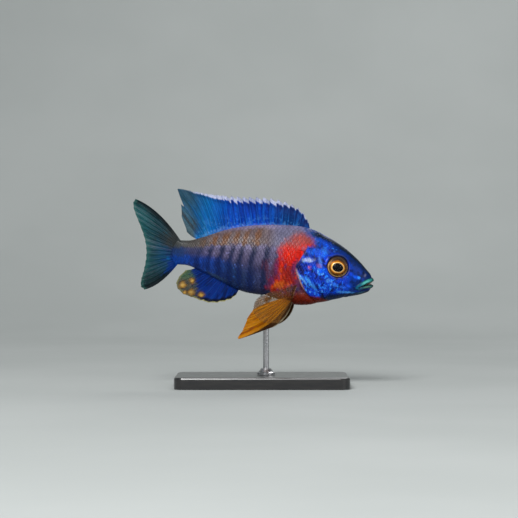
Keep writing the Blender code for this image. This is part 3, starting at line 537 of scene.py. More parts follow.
def stalk_end_paint(points):
    """The colour where stalk and tail fin meet, shared by both: grey brown above, deep blue below."""
    high = side_view(points)[1] + 3 * uneven(points, 1.6, 227)
    grey = lay((30, 56, 106), (62, 66, 66), step(high, 7.2, 10))
    return lay(grey, (0, 58, 146), step(high, 5.6, 3.0))


def collar_red(points, at, field):
    """The collar's own colours: red above, orange and dark red in streaks below, violet towards its hems."""
    streak = step(at.band, -0.03, 0.07)
    low = step(at.upright + 3 * at.noise, 4.0, -4.0)
    red = lay(RED, RED_SOFT, step(at.upright + 4 * at.noise, 6.0, 11.5))
    red = lay(red, (196, 40, 8), 0.8 * low)
    red = lay(red, ORANGE, low * (1 - streak) * 0.55 * step(at.noise + at.fine, -0.1, 0.2))
    red = lay(red, RED_DARK, low * streak * 0.62)
    violet = step(broken_noise(points * [1, 1, 0.2], 1.3, 59), 0.50, 0.60)
    red = lay(red, (80, 44, 104), 0.62 * violet * step(at.upright, 5, -1))
    glow = hump(at.level, 13.5, 3) * hump(at.upright, 5.5, 4)
    red = lay(red, (236, 64, 4), 0.65 * glow * (1 - streak))
    hem = step(field, 0.6, 0.1) * step(at.upright, 5, -1)
    red = lay(red, (74, 30, 74), 0.75 * hem * streak)
    front = hump(at.ahead, -1.4, 1.6) * step(at.upright, 0, -4)
    red = lay(red, (84, 26, 66), 0.8 * front * step(at.fine + at.band, -0.05, 0.1))
    orange = step(oval(at.level, at.upright, COLLAR_ORANGE) + 0.5 * at.fine, 0.0, 0.4)
    return lay(red, (206, 98, 30), 0.85 * orange * (1 - 0.75 * streak))


def collar_paint(points, ground, fleck, share):
    """The red collar laid over trunk and nape, streaked below and soft above, and the rusty breast."""
    at = SimpleNamespace(ahead=gill_distance(points[..., 0], points[..., 2]))
    at.level, at.upright = side_view(points)
    at.noise, at.fine = uneven(points, 2.4, 37), uneven(points, 0.9, 41)
    at.band = uneven(points * [1, 1, 0.12], 1.6, 53)
    field = np.max([oval(at.level, at.upright, patch) for patch in COLLAR], axis=0)
    field = field + 0.5 * at.noise + 0.5 * at.fine + 1.6 * at.band * step(at.upright, 8, 0)
    behind = step(at.ahead + 0.5 * at.fine, 0.2, -0.3)
    wash = step(oval(at.level, at.upright, COLLAR_WASH) + 1.9 * at.band + 0.6 * at.fine, 0.02, 0.42)
    ground = lay(ground, (104, 26, 36), 0.42 * wash * behind)
    soft = step(at.upright, 9, 14)
    mask = step(field, -0.16 - 0.1 * soft, 0.30 + 0.25 * soft) * np.where(at.upright > 8.5, 1.0, behind)
    red = collar_red(points, at, field)
    ground = lay(ground, red, mask)
    fleck = lay(fleck, lay(red, (236, 104, 76), 0.3 * (0.4 + 0.6 * soft)), mask)
    share = share + (0.22 * (1 + 1.6 * soft) - share) * mask
    rust = step(oval(at.level, at.upright, BREAST_RUST) + 0.3 * at.noise, 0.0, 0.25)
    return lay(ground, RUST, 0.9 * rust), fleck, share * (1 - 0.75 * rust)


def head_values(points):
    """What the head's colours follow: places, noise, height shares, and masks of head, nape and snout."""
    at = SimpleNamespace()
    at.x, _, at.z = np.moveaxis(points, -1, 0)
    at.level, at.upright = side_view(points)
    at.ahead = gill_distance(at.x, at.z)
    at.broad, at.coarse, at.fine = uneven(points, 4.5, 67), uneven(points, 2.0, 71), uneven(points, 0.8, 83)
    _, middle, above, below = section(at.x)
    at.high = (at.z - middle) / np.maximum(above, 0.5)
    at.low = (middle - at.z) / np.maximum(below, 0.5)
    sharp = step(at.ahead, -0.1, 0.35)
    soft = step(at.ahead + 6 * at.coarse, -7.0, 1.5)
    at.head = sharp + (soft - sharp) * step(at.z, 10.0, 13.5)
    at.nape = step(at.z, 9, 15) * step(at.x, 33, 22)
    at.snout = step(at.x, 42.0, 47.0) * step(at.upright, -16.5, -14.5)
    return at


def head_blue(at):
    """Navy and bright blue in turn, paler on the nape, deep and mottled on the snout, dark by the brow."""
    blue = lay(HEAD_BLUE, HEAD_NAVY, 0.9 * step(at.coarse + 0.6 * at.fine, -0.02, 0.12))
    blue = lay(blue, (0, 80, 224), 0.55 * step(at.broad, 0.04, 0.16))
    blue = lay(blue, NAPE_BLUE, 0.8 * at.nape)
    deep = lay(SNOUT_BLUE, (0, 24, 66), 0.9 * step(at.coarse + 0.4 * at.fine, -0.12, 0.10))
    blue = lay(blue, deep, 0.88 * at.snout)
    return lay(blue, (4, 30, 74), 0.85 * step(at.high + 0.3 * at.coarse, 0.42, 0.76) * step(at.x, 28, 38))


def head_flecks(points, at, share):
    """The head's fleck colour and share of flecks: many on the gill cover, few on snout, brow and throat."""
    glint = broken_noise(points, 1.5, 89)
    spark = lay(HEAD_CYAN, (0, 92, 250), step(glint, 0.5, 0.4))
    spark = lay(spark, (120, 184, 250), 0.6 * step(glint, 0.6, 0.7))
    cover = step(at.ahead, 13, 3) * step(at.upright, 3, -2)
    many = (0.34 + 1.4 * at.broad + 0.16 * cover) * (1 - 0.85 * at.snout)
    many = many * (1 - 0.7 * step(at.high, 0.6, 0.85)) * (1 - 0.5 * step(at.low, 0.75, 0.95))
    return lay(spark, NAPE_PALE, at.nape), share + (np.clip(many, 0.05, 0.9) - share) * at.head


def head_darks(at, ground, share):
    """The dark line along the brow, and the dark throat and chin."""
    brow = step(at.high + 0.10 * at.fine, 0.80, 0.91) * step(at.x, 21, 27)
    brow = brow * (1 - 0.7 * step(at.high, 0.972, 0.992))
    under = step(at.upright + 0.8 * at.coarse, -14.2, -16.2) * step(at.level, 29, 35)
    under = under + step(at.upright, -15.6, -17.6) * step(at.level, 22, 28)
    under = under + step(at.low, 0.72, 0.9) * step(at.x, 38, 44)
    under = np.clip(under, 0, 1) * at.head
    ground = lay(lay(ground, BROW_DARK, 0.95 * brow), (0, 26, 40), 0.9 * under)
    return ground, share * (1 - 0.95 * brow) * (1 - 0.8 * under)


def head_patches(at, ground, share):
    """The named patches, each with an uneven rim and few flecks."""
    for patch in PATCHES:
        *place, colour, strength = patch
        field = oval(at.level, at.upright, place) + 0.8 * at.fine + 0.6 * at.coarse
        mask = step(field, -0.2, 0.65) * strength
        ground = lay(ground, colour, mask)
        share = share * (1 - 0.9 * mask)
    return ground, share


def head_edges(points, at, ground, share):
    """The cover's pale rim, rings round the eye with painted shade above it, and shade in grooves, socket and
    nostril.
    """
    rim = hump(at.ahead, 0.12, 0.34) * step(at.upright, -1.5, -4.0) * step(at.upright, -14.5, -12.0)
    ground = lay(ground, RIM_PALE, 0.85 * rim)
    radius = eye_radius(points)
    past, over = at.x - EYE_CENTRE[0], at.z - EYE_CENTRE[1]
    ground = lay(ground, (104, 96, 112), 0.4 * hump(radius, 6.05, 0.28) * step(0.6 * past - over, 0.5, 4.5))
    # Painted shade: a darker ring above the eye.
    ground = lay(ground, (52, 60, 80), 0.6 * hump(radius, 6.1, 0.4) * step(over, 2.0, 5.0))
    cheek = line_distance(at.x, at.z, CHEEK_EDGE)
    shade = 1 - 0.45 * hump(cheek, -0.1, 0.35) * step(at.z, 11, 8)
    shade = shade - 0.55 * hump(at.ahead, -0.35, 0.3) * step(at.z, 12, 9)
    shade = shade * (1 - 0.7 * hump(radius, 5.7, 0.28)) * (1 - 0.9 * (radius < 5.5))
    shade = shade * (1 - 0.8 * hump(nostril_distance(at.x, at.z), 0, 0.5))
    share = share * (1 - 0.9 * hump(radius, 6.1, 0.6)) * np.clip(shade, 0, 1)
    return ground * np.clip(shade, 0.05, 1)[..., None], share


def head_paint(points, ground, fleck, share):
    """The blue head, laid over the trunk's colours ahead of the gill cover's edge and over the nape."""
    at = head_values(points)
    spark, share = head_flecks(points, at, share)
    ground, share = head_darks(at, lay(ground, head_blue(at), at.head), share)
    ground, share = head_patches(at, ground, share)
    ground, share = head_edges(points, at, ground, share)
    return ground, lay(fleck, spark, at.head), share


def fish_paint(points):
    """Ground colour, fleck colour and share of flecks at places on the skin."""
    painted = body_paint(points)
    painted = head_paint(points, *painted)
    return collar_paint(points, *painted)


def lip_paint(points, ground, share, from_mouth, forward, upper):
    """Turquoise lips with a pale crest that is partly painted highlight, painted shade along both edges and
    at the front, blue at the corner.
    """
    t = from_mouth / lip_width(forward, upper)
    lip = step(t, 1.25, 0.85)
    # The pale crest is partly painted highlight along the lip's rounded top.
    crest_highlight = hump(t + 0.4 * uneven(points, 1.2, 211), 0.55, 0.26)
    crest_highlight = crest_highlight * step(forward, 0.05, 0.35) * (1 - 0.75 * step(forward, 0.60, 0.88))
    base, pale = (np.where(upper[..., None], *(screen(*one) for one in pair)) for pair in LIP_COLOURS)
    colour = lay(base, pale, 0.9 * crest_highlight)
    colour = lay(colour, (8, 78, 122), 0.75 * step(forward, 0.42, 0.10))
    # Painted shade along both edges of the lip and at its front.
    shade = (0.12 + 0.88 * step(t, 0.02, 0.36)) * (0.12 + 0.88 * step(t, 1.15, 0.72))
    shade = shade * (0.25 + 0.75 * step(forward, 0.985, 0.84))
    return lay(ground, colour * shade[..., None], lip), share * (1 - lip)


def mouth_edge(turn, side):
    """Places of a lip's edge by a half turn from corner to corner, and how far forward each is.

    Side is 1 for the upper lip, -1 for the lower one and 0 for the line between them.
    """
    forward = np.clip(np.cos(turn), 0, 1)
    x = MOUTH_CORNER[0] + MOUTH_REACH * forward
    z = mouth_height(x) + side * mouth_half(forward)
    return np.stack([x, np.sign(turn) * flank(x, z), z], -1), forward


def lip_width(forward, upper):
    """How wide a lip is, from its corner to the front."""
    return np.where(upper, 1.75 + 0.4 * hump(forward, 0.6, 0.45), 1.25 + 0.55 * forward)


def mouth_height(x):
    """The height of the mouth's line at x: a slope with a slight arch."""
    share = np.clip((x - MOUTH_CORNER[0]) / MOUTH_REACH, 0, 1)
    return MOUTH_CORNER[1] + MOUTH_SLOPE * (x - MOUTH_CORNER[0]) + MOUTH_ARCH * 4 * share * (1 - share)


def mouth_half(forward):
    """Half the gap between the lips."""
    return 0.03 + MOUTH_HALF * forward**1.6


def mouth_line(column):
    """The lip edge by column: the upper one over the first half of the columns, then the lower one back."""
    share = column / (COLUMNS / 2)
    share = np.where(share > 1, 2 - share, share)
    return mouth_edge(math.pi / 2 * (1 - 2 * share), np.where(column <= COLUMNS / 2, 1, -1))


def mouth_distance(points):
    """Distance of places to the mouth's edge, how far forward the nearest edge is, and which lie above it."""
    edge, along = mouth_edge(np.linspace(-math.pi / 2, math.pi / 2, MOUTH_PLACES), 0)
    flat = points.reshape(-1, 3)
    gap = np.full(len(flat), FAR)
    nearest = np.zeros(len(flat), int)
    for part in np.array_split(np.flatnonzero(flat[:, 0] > MOUTH_CORNER[0] - MOUTH_NEAR), 16):
        squared = ((flat[part, None] - edge) ** 2).sum(-1)
        nearest[part] = squared.argmin(1)
        gap[part] = np.sqrt(squared.min(1))
    forward = along[nearest]
    gap = np.maximum(gap - mouth_half(forward), 0)
    above = flat[:, 2] > mouth_height(flat[:, 0])
    return tuple(values.reshape(points.shape[:-1]) for values in (gap, forward, above))


def cast(points):
    """Places moved straight out or in, within their section, on to the body's superellipse."""
    x, y, z = np.moveaxis(points, -1, 0)
    wide, middle, above, below = section(x)
    drop = z - middle
    power = np.where(drop >= 0, upper_power(x), lower_power(x))
    tall = np.maximum(np.where(drop >= 0, above, below), 1e-3)
    size = (np.abs(y / np.maximum(wide, 1e-3)) ** power + np.abs(drop / tall) ** power) ** (-1 / power)
    return np.stack([x, y * size, middle + drop * size], -1)


def tail_curve(z):
    """How far ahead of the tail's cap the skin and the scales end at a height: more above and below."""
    return 2.2 * ((z - 0.7) / 6.2) ** 2


def trunk_grid():
    """Rows of the skin from the tail to the front of the cheek; some follow the gill cover's edge."""
    column = np.arange(COLUMNS)
    x = np.linspace(EDGE_REARMOST, HEAD_START, EDGE_STEPS)[:, None]
    ahead = x > gill_x(body_point(x, column)[..., 2])
    edge = np.minimum(x[np.argmax(ahead, axis=0), 0], EDGE_FOREMOST)
    end = TAIL_CAP + tail_curve(body_point(np.full(COLUMNS, TAIL_CAP), column)[:, 2])
    behind, before = edge - EDGE_REACH, edge + EDGE_REACH
    x = np.concatenate([
        end + (behind - end) * np.linspace(0, 1, TRUNK_ROWS, endpoint=False)[:, None] ** 0.94,
        edge + np.linspace(-EDGE_REACH, EDGE_REACH, EDGE_ROWS)[:, None],
        before + (HEAD_START - before) * np.linspace(0, 1, CHEEK_ROWS)[1:, None],
    ])
    return body_point(x, column)


def snout_grid():
    """Rows from the cheek to the mouth: chords to the mouth's edge, cast on to the body, spaced by length."""
    column = np.arange(COLUMNS)
    start = body_point(np.full(COLUMNS, HEAD_START), column)
    end, _ = mouth_line(column)
    t = (1 - (1 - np.linspace(0, 1, CHORD_STEPS)) ** 1.7)[:, None, None]
    line = cast(start + (end - start) * t)
    line[-1] = end
    run = run_length(line)
    length = run[-1]
    lips = np.linspace(LIP_ZONE, 0, LIP_ROWS)[:, None] * np.ones(COLUMNS)
    rest = LIP_ZONE + (length - LIP_ZONE) * np.linspace(1, 0, SNOUT_ROWS)[1:-1, None]
    from_mouth = np.concatenate([rest, lips])
    # The columns are laid end to end, so that one interpolation serves them all.
    offset = column * 1000.0
    keys = (run + offset).T.ravel()
    wanted = (length - from_mouth + offset).ravel()
    at = [np.interp(wanted, keys, line[..., axis].T.ravel()) for axis in range(3)]
    grid = np.stack(at, -1).reshape(from_mouth.shape + (3,))
    grid[-1] = end
    return grid


def grid_normals(grid):
    """Normals of a grid closed round its rows: across its two steps, turned away from the body's middle."""
    along = np.gradient(grid, axis=0)
    round_it = np.roll(grid, -1, axis=1) - np.roll(grid, 1, axis=1)
    x = grid[..., 0]
    return turned_outwards(unit(np.cross(along, round_it)), grid - np.stack([x - 0.5, 0 * x, widest(x)], -1))


def mouth_rows(edge, forward):
    """The mouth's lining: rows that shrink towards a place behind the lips and soon lie all but shut."""
    t = np.array([0.03, 0.07, 0.12, 0.19, 0.3, 0.5, 0.75])[:, None, None]
    goal = np.array([LINING_END, 0.0, mouth_height(LINING_END)])
    rows = edge + (goal - edge) * t
    plane = mouth_height(rows[..., 0])
    deep = np.linalg.norm(rows - edge, axis=2)
    shut = step(deep, 0.2, LINING_DEEP)
    rows[..., 2] = plane + (rows[..., 2] - plane) * (1 - 0.93 * shut)
    # Deeper in, the lining is near black: painted shade inside the closed mouth.
    pale = step(forward, 0.3, 0.9) * step(deep, 3.6, 0.9)
    return rows, goal, lay(MOUTH_SHADE, MOUTH_PALE, pale)


def lip_swell(t, forward):
    """How far lips stand out: a quarter round from the mouth's edge to the crest, easing down outside it."""
    outer = 1 - step(t, LIP_CREST, 1.4)
    return np.where(t < LIP_CREST, arch(LIP_CREST - t, LIP_CREST), outer) * (0.45 + 0.35 * forward)


def skin_points():
    """The whole skin as one grid from tail to mouth lining, with its colours."""
    grid = np.concatenate([trunk_grid(), snout_grid()])
    from_mouth, forward, upper = mouth_distance(grid)
    t = from_mouth / lip_width(forward, upper)
    height = relief(grid) * step(from_mouth, 1.5, 3.0) + lip_swell(t, forward) - 0.1 * hump(t, 1.15, 0.2)
    coat = step(gill_distance(grid[..., 0], grid[..., 2]), 1.0, -1.0)
    height = height - COAT_DEPTH * np.maximum(coat, 0.35)
    ground, fleck, share = fish_paint(grid)
    ground, share = lip_paint(grid, ground, share, from_mouth, forward, upper)
    shaped = grid + grid_normals(grid) * height[..., None]
    lining, goal, inner = mouth_rows(shaped[-1], mouth_line(np.arange(COLUMNS))[1])
    points, ground, fleck = (
        np.concatenate(pair) for pair in ((shaped, lining), (ground, inner), (fleck, inner))
    )
    return points, goal, ground, fleck, np.concatenate([share, np.zeros(lining.shape[:2])])


def grid_quads(rows, columns, closed):
    """A grid's triangles and their corners' (row, column); closed joins its last column to its first."""
    wrap = columns if closed else columns - 1
    near = np.stack(np.meshgrid(np.arange(rows - 1), np.arange(wrap), indexing="ij"), -1).reshape(-1, 2)
    beside, beyond, across = near + [0, 1], near + [1, 0], near + [1, 1]
    corners = np.concatenate([np.stack([near, beside, across], 1), np.stack([near, across, beyond], 1)])
    return corners[..., 0] * columns + corners[..., 1] % columns, corners


def grid_rim(rows, columns):
    """The places round a grid's rim, in order."""
    index = np.arange(rows * columns).reshape(rows, columns)
    return np.concatenate([index[0], index[1:, -1], index[-1, -2::-1], index[-2:0:-1, 0]])


def wall_faces(rim, under):
    """Triangles between a ring of places and the ring under it."""
    after, after_under = np.roll(rim, -1), np.roll(under, -1)
    return np.concatenate([np.stack([rim, after, after_under], -1), np.stack([rim, after_under, under], -1)])


def inside_out(points, faces):
    """Whether the faces of a closed surface point inwards: its signed volume is below zero."""
    corners = points[faces]
    return np.einsum("ij,ij->i", corners[:, 0], np.cross(corners[:, 1], corners[:, 2])).sum() < 0


def turned(faces, uv, back_to_front):
    """Faces and their map, run the other way round where that is asked."""
    return (faces[:, ::-1], uv[:, ::-1]) if back_to_front else (faces, uv)


def new_piece(name, points, faces, uv, material, values=None, colours=None, soft=True):
    """A piece from places in metres: its triangles, their map, attributes, material and soft-shaded faces."""
    mesh = bpy.data.meshes.new(name)
    mesh.vertices.add(len(points))
    mesh.vertices.foreach_set("co", np.asarray(points, float).ravel())
    mesh.loops.add(faces.size)
    mesh.loops.foreach_set("vertex_index", faces.ravel().astype(np.int32))
    mesh.polygons.add(len(faces))
    mesh.polygons.foreach_set("loop_start", np.arange(0, faces.size, 3, dtype=np.int32))
    mesh.polygons.foreach_set("use_smooth", np.broadcast_to(soft, len(faces)).copy())
    mesh.uv_layers.new(name="OFBake").uv.foreach_set("vector", np.asarray(uv, float).ravel())
    for key, value in (values or {}).items():
        layer = mesh.attributes.new(key, "FLOAT", "POINT")
        layer.data.foreach_set("value", np.asarray(value, float).ravel())
    for key, colour in (colours or {}).items():
        layer = mesh.attributes.new(key, "FLOAT_COLOR", "POINT")
        rgba = np.ones((len(points), 4))
        rgba[:, :3] = np.clip(np.asarray(colour).reshape(-1, 3), 0, 4)
        layer.data.foreach_set("color", rgba.ravel())
    mesh.update(calc_edges=True)
    mesh.materials.append(material)
    made = bpy.data.objects.new(name, mesh)
    bpy.context.scene.collection.objects.link(made)
    return made


def closed_grid(points, caps):
    """Triangles and map of a grid closed round its rows, its ends fanned to the two cap places after it."""
    rows, columns = points.shape[:2]
    faces, corners = grid_quads(rows, columns, True)
    place = corners / [rows + 1.0, columns]
    c = np.arange(columns)
    for cap, row in enumerate((0, rows - 1)):
        tip = np.full(columns, rows * columns + cap)
        fan = np.stack([row * columns + (c + 1) % columns, row * columns + c, tip], -1)
        fan_place = np.stack([
            np.stack([np.full(columns, at_row / (rows + 1.0)), at_column / columns], -1)
            for at_row, at_column in ((row, c + 1), (row, c), (row + cap, c + 0.5))
        ], 1)
        fan, fan_place = turned(fan, fan_place, cap)
        faces, place = np.concatenate([faces, fan]), np.concatenate([place, fan_place])
    flat = np.concatenate([points.reshape(-1, 3), caps])
    return flat, *turned(faces, place * 0.98 + 0.01, inside_out(flat, faces))


def with_caps(values):
    """Values of a closed grid's places, with those of its two cap places after them."""
    flat = values.reshape((-1,) + values.shape[2:])
    return np.concatenate([flat, values[0, :1], values[-1, :1]])


def make_skin(material):
    """The skin of head, jaw, gill covers, trunk and tail stalk in one."""
    grid, goal, ground, fleck, share = skin_points()
    points, faces, uv = closed_grid(grid, np.concatenate([grid[:1].mean(1), goal[None]]))
    made = new_piece(
        "skin", posed(points) / 1000, faces, uv, material,
        {"share": with_caps(share)}, {"ground": with_caps(ground), "fleck": with_caps(fleck)},
    )
    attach(made, "root")
    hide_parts("head", "lower_jaw", "gill_cover_right", "gill_cover_left", "torso", "tail_stalk")


# Scales. Each coat has its pitch along a row, from row to row, and the lift of its free edges.
BODY_COAT = (2.0, 1.55, 0.15)
HEAD_COAT = (1.42, 1.15, 0.10)
COAT_FRONT, COAT_REAR, CHEEK_REAR = 46.0, -45.2, 15.0
MOST_ROWS = 40
NAPE_LOW, NAPE_FRONT = 10.6, 30.5
SCALE_ACROSS, SCALE_ALONG = 5, 5
SCALE_LONG, SCALE_WIDE = 1.62, 1.12
SCALE_UNEVEN = 0.03
SEEN_ALONG, SEEN_ACROSS, PAINT_SPREAD = 3, 2, 0.8
FULL_GIRTH = 58.0
SCALE_DOME, SCALE_THICK, ROOT_SUNK = 0.055, 0.085, -0.10
MAP_REAR, MAP_LONG, MAP_HIGH, PATCH = 48, 110, 140, 0.003
BODY_SEED, HEAD_SEED = 7, 17


def scale_size(x):
    """How large scales are at x: by the square root of the body's girth there."""
    wide, _, above, below = section(x)
    return np.sqrt(np.clip((above + below + 2 * wide) / FULL_GIRTH, 0.2, 1))


def quarter_arcs(x, upper):
    """Columns and arc lengths from the flank's middle to the back or the belly at each x."""
    column = np.linspace(0, QUARTER, 60) * (1 if upper else -1)
    return column, run_length(body_point(x[None, :], column[:, None])).T


def scale_roots(pitch, row, front, rear):
    """Roots of scales as (x, column on the left side, arc, size), in rows at even arcs from mid flank."""
    x = np.linspace(front, rear, 900)
    wanted = 1 / scale_size(x)
    run = np.concatenate([[0], np.cumsum(0.5 * (wanted[1:] + wanted[:-1]) * -np.diff(x))]) / pitch
    found = []
    for upper, sign in ((True, 1), (False, -1)):
        for j in range(0 if upper else 1, MOST_ROWS):
            at = np.interp(np.arange(0.5 * (j % 2), run[-1], 1.0), run, x)
            size = scale_size(at)
            arc = j * row * size
            column, arcs = quarter_arcs(at, upper)
            kept = arc < arcs[:, -1] - 0.1 * row * size
            share = np.array([np.interp(a, run_arc, np.abs(column)) for a, run_arc in zip(arc, arcs)])
            found.append(np.stack([at, sign * share, sign * arc, size], -1)[kept])
    return np.concatenate(found)


def root_places(roots):
    """Places of roots, their x and z, distance ahead of the gill cover's edge, and which lie on the nape."""
    place = body_point(roots[:, 0], roots[:, 1])
    x, z = place[:, 0], place[:, 2]
    return place, x, z, gill_distance(x, z), (z > NAPE_LOW) & (x < NAPE_FRONT)


def on_body(roots):
    """Which roots carry the trunk's scales: all behind the gill cover, and over the nape."""
    _, x, z, ahead, nape = root_places(roots)
    return (x > COAT_REAR + tail_curve(z)) & ((ahead < -0.5) | (nape & (ahead < 9)))


def on_cheek(roots):
    """Which roots carry the smaller scales of cheek and gill cover, clear of eye, jaws, snout and nape."""
    place, x, z, ahead, nape = root_places(roots)
    behind_snout = x + 0.55 * np.maximum(z, -3) < 43.5
    between = (z < back(x) - 1.2) & (z > belly(x) + 2.0)
    return (ahead > 1.9) & (eye_radius(place) > 7.4) & ~nape & behind_snout & between


def scale_shell():
    """Triangles of one scale's closed shell, its rim's places and how many triangles are its top.

    The top is the scale's grid. Walls run from its rim to a copy of the rim below, and a fan closes that.
    """
    cells = SCALE_ALONG * SCALE_ACROSS
    top, _ = grid_quads(SCALE_ALONG, SCALE_ACROSS, False)
    rim = grid_rim(SCALE_ALONG, SCALE_ACROSS)
    under = np.arange(cells, cells + len(rim))
    fan = np.roll(under, -(SCALE_ACROSS // 2))
    floor = np.stack([np.full(len(rim) - 2, fan[0]), fan[1:-1], fan[2:]], -1)
    return np.concatenate([top[:, ::-1], wall_faces(rim, under), floor]), rim, len(top)


def each(values):
    """One value for each scale, to be met with the places of its grid."""
    return values[:, None, None]


def scale_places(roots, size, shift, pitch, row, along, across):
    """x and column of each scale's places: narrow at the root, drawn back at the sides by a half circle."""
    length, half = each(SCALE_LONG * pitch * size), each(SCALE_WIDE * row * size)
    round_end = 0.6 + 0.4 * np.sqrt(1 - across**2)
    x = each(roots[:, 0] + shift) - length * along * round_end
    narrow = 0.78 + 0.22 * np.sin(math.pi / 2 * np.clip(along * 1.6, 0, 1))
    beside = [body_point(roots[:, 0], roots[:, 1] + half_step) for half_step in (0.5, -0.5)]
    one_column = np.linalg.norm(beside[0] - beside[1], axis=1)
    column = each(roots[:, 1]) + half * across * narrow / each(np.maximum(one_column, 0.05))
    return x, column + 0 * x


def scale_map(roots, side, along, across, rim):
    """The map of all scales' places: each scale a small patch at its root's place."""
    root_u = (roots[:, 0] + MAP_REAR) / MAP_LONG * 0.96 + 0.02
    root = np.stack([root_u, 0.5 + side * (0.25 + roots[:, 2] / MAP_HIGH)], -1)
    patch = np.stack([across * PATCH / 2, along * PATCH], -1).reshape(-1, 2)
    return (root[:, None] + np.concatenate([patch, patch[rim]])[None]).reshape(-1, 2)


def scale_grid():
    """One scale's grid: across from -1 to 1, along from root to free edge, closer set towards its sides."""
    across = np.sin(np.linspace(-math.pi / 2, math.pi / 2, SCALE_ACROSS))
    along = np.linspace(0, 1, SCALE_ALONG) ** 0.85
    return np.meshgrid(along, across, indexing="ij")


def scale_sheets(place, normal, size, lift, along, across):
    """Tops and undersides of all scales: the lift grows from root to free edge, with a dome in the middle."""
    dome = SCALE_DOME * (1 - across**2) * np.sin(math.pi * along)
    stand = ROOT_SUNK + (lift - ROOT_SUNK) * along**1.1 * (1 - 0.25 * across**4) + dome
    high = relief(place) - 0.02
    levels = stand, stand - SCALE_THICK
    return [place + normal * (high + each(size) * level)[..., None] for level in levels]


def with_rim(values, rim):
    """Values of all scales' grids, each scale's rim repeated after its grid."""
    flat = values.reshape((len(values), -1) + values.shape[3:])
    return np.concatenate([flat, flat[:, rim]], axis=1)


def scale_looks(place, side, chance, along, across, rim):
    """Values and colours of all scales, each scale's paint drawn a fifth of the way to one of its places."""
    seen = place[:, SEEN_ALONG, SEEN_ACROSS][:, None, None]
    ground, fleck, share = fish_paint((seen + PAINT_SPREAD * (place - seen)) * [1, side, 1])
    # edge: how strongly painted shade darkens each scale, at its sides and free edge.
    edge = np.maximum(np.abs(across) ** 3, step(along, 0.55, 1.0)) + 0 * share
    values = {"share": share, "chance": each(chance) + 0 * share, "edge": edge}
    colours = {"ground": ground, "fleck": fleck}
    return [{key: with_rim(value, rim) for key, value in looks.items()} for looks in (values, colours)]


def make_scales(name, roots, side, coat, material, seed):
    """Scales as thin closed shells, narrow at the root, rounded and lifted at the free edge.

    A place (u across, v along) lies v times the length behind the root, drawn back at the sides by a
    half circle, and u times the half width round the body. It stands off the skin by the lift times v, and
    a little more in its middle.
    """
    pitch, row, lift = coat
    along, across = scale_grid()
    count = len(roots)
    rng = np.random.default_rng(seed)
    shift = rng.normal(0, SCALE_UNEVEN, (count, 2))[:, 0]
    size = roots[:, 3] * (1 + rng.normal(0, SCALE_UNEVEN, count))
    x, column = scale_places(roots, size, shift, pitch, row, along, across)
    place, normal = body_point(x, column), body_normal(x, column)
    one, rim, tops = scale_shell()
    top, under = scale_sheets(place, normal, size, lift, along, across)
    points = np.concatenate([top.reshape(count, -1, 3), under.reshape(count, -1, 3)[:, rim]], axis=1)
    points = points * [1, side, 1]
    if inside_out(points[0], one):
        one = one[:, ::-1]
    faces = (one[None] + each(np.arange(count)) * points.shape[1]).reshape(-1, 3)
    uv = scale_map(roots, side, along, across, rim)[faces]
    looks = scale_looks(place, side, rng.random(count), along, across, rim)
    soft = np.tile(np.arange(len(one)) < tops, count)
    made = new_piece(name, posed(points.reshape(-1, 3)) / 1000, faces, uv, material, *looks, soft)
    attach(made, "root")


# Nodes.

def wire(tree, node, links):
    """Sockets or values given to a node's inputs, by their names or numbers."""
    for key, value in links.items():
        if isinstance(value, bpy.types.NodeSocket):
            tree.links.new(value, node.inputs[key])
        else:
            node.inputs[key].default_value = value


def add(tree, kind, links=None, **settings):
    """A node with its settings and the sockets or values that its inputs take."""
    made = tree.nodes.new(kind)
    for name, value in settings.items():
        setattr(made, name, value)
    wire(tree, made, links or {})
    return made


def scaled(tree, colour, tone):
    """A colour made lighter or darker by a factor."""
    return add(tree, "ShaderNodeVectorMath", {0: colour, "Scale": tone}, operation="SCALE").outputs[0]


def blended(tree, share, one, two):
    """Two shaders mixed by a share."""
    return add(tree, "ShaderNodeMixShader", {0: share, 1: one, 2: two}).outputs[0]


def stretched(tree, place, scale):
    """A place multiplied along its axes."""
    return add(tree, "ShaderNodeMapping", {"Vector": place, "Scale": scale}).outputs[0]


def map_streaks(tree, scale):
    """Streaks drawn out along the piece's own map."""
    across = add(tree, "ShaderNodeUVMap", uv_map="OFBake").outputs[0]
    return noise(tree, stretched(tree, across, scale), 1.0, 3.0, 0.6)


def maths(tree, operation, one, two=0.0, three=0.0):
    """The result of one sum on numbers or sockets."""
    return add(tree, "ShaderNodeMath", {0: one, 1: two, 2: three}, operation=operation).outputs[0]


def mixed(tree, share, one, two):
    """Two colours mixed by a share."""
    return add(tree, "ShaderNodeMix", {0: share, 6: one, 7: two}, data_type="RGBA").outputs[2]


def ramped(tree, value, low, high, to_low=0.0, to_high=1.0):
    """A value carried from one range to another with eased ends."""
    links = {0: value, 1: low, 2: high, 3: to_low, 4: to_high}
    return add(tree, "ShaderNodeMapRange", links, interpolation_type="SMOOTHSTEP").outputs[0]


def attribute(tree, name, output="Color"):
    """A socket that reads an attribute of the piece."""
    return add(tree, "ShaderNodeAttribute", attribute_name=name).outputs[output]


def object_place(tree):
    """A socket that reads the place on the object, in metres."""
    return add(tree, "ShaderNodeTexCoord").outputs["Object"]


def noise(tree, place, per_metre, detail=2.0, rough=0.5):
    """Noise whose features are one over `per_metre` across."""
    links = {"Vector": place, "Scale": per_metre, "Detail": detail, "Roughness": rough}
    return add(tree, "ShaderNodeTexNoise", links).outputs[0]


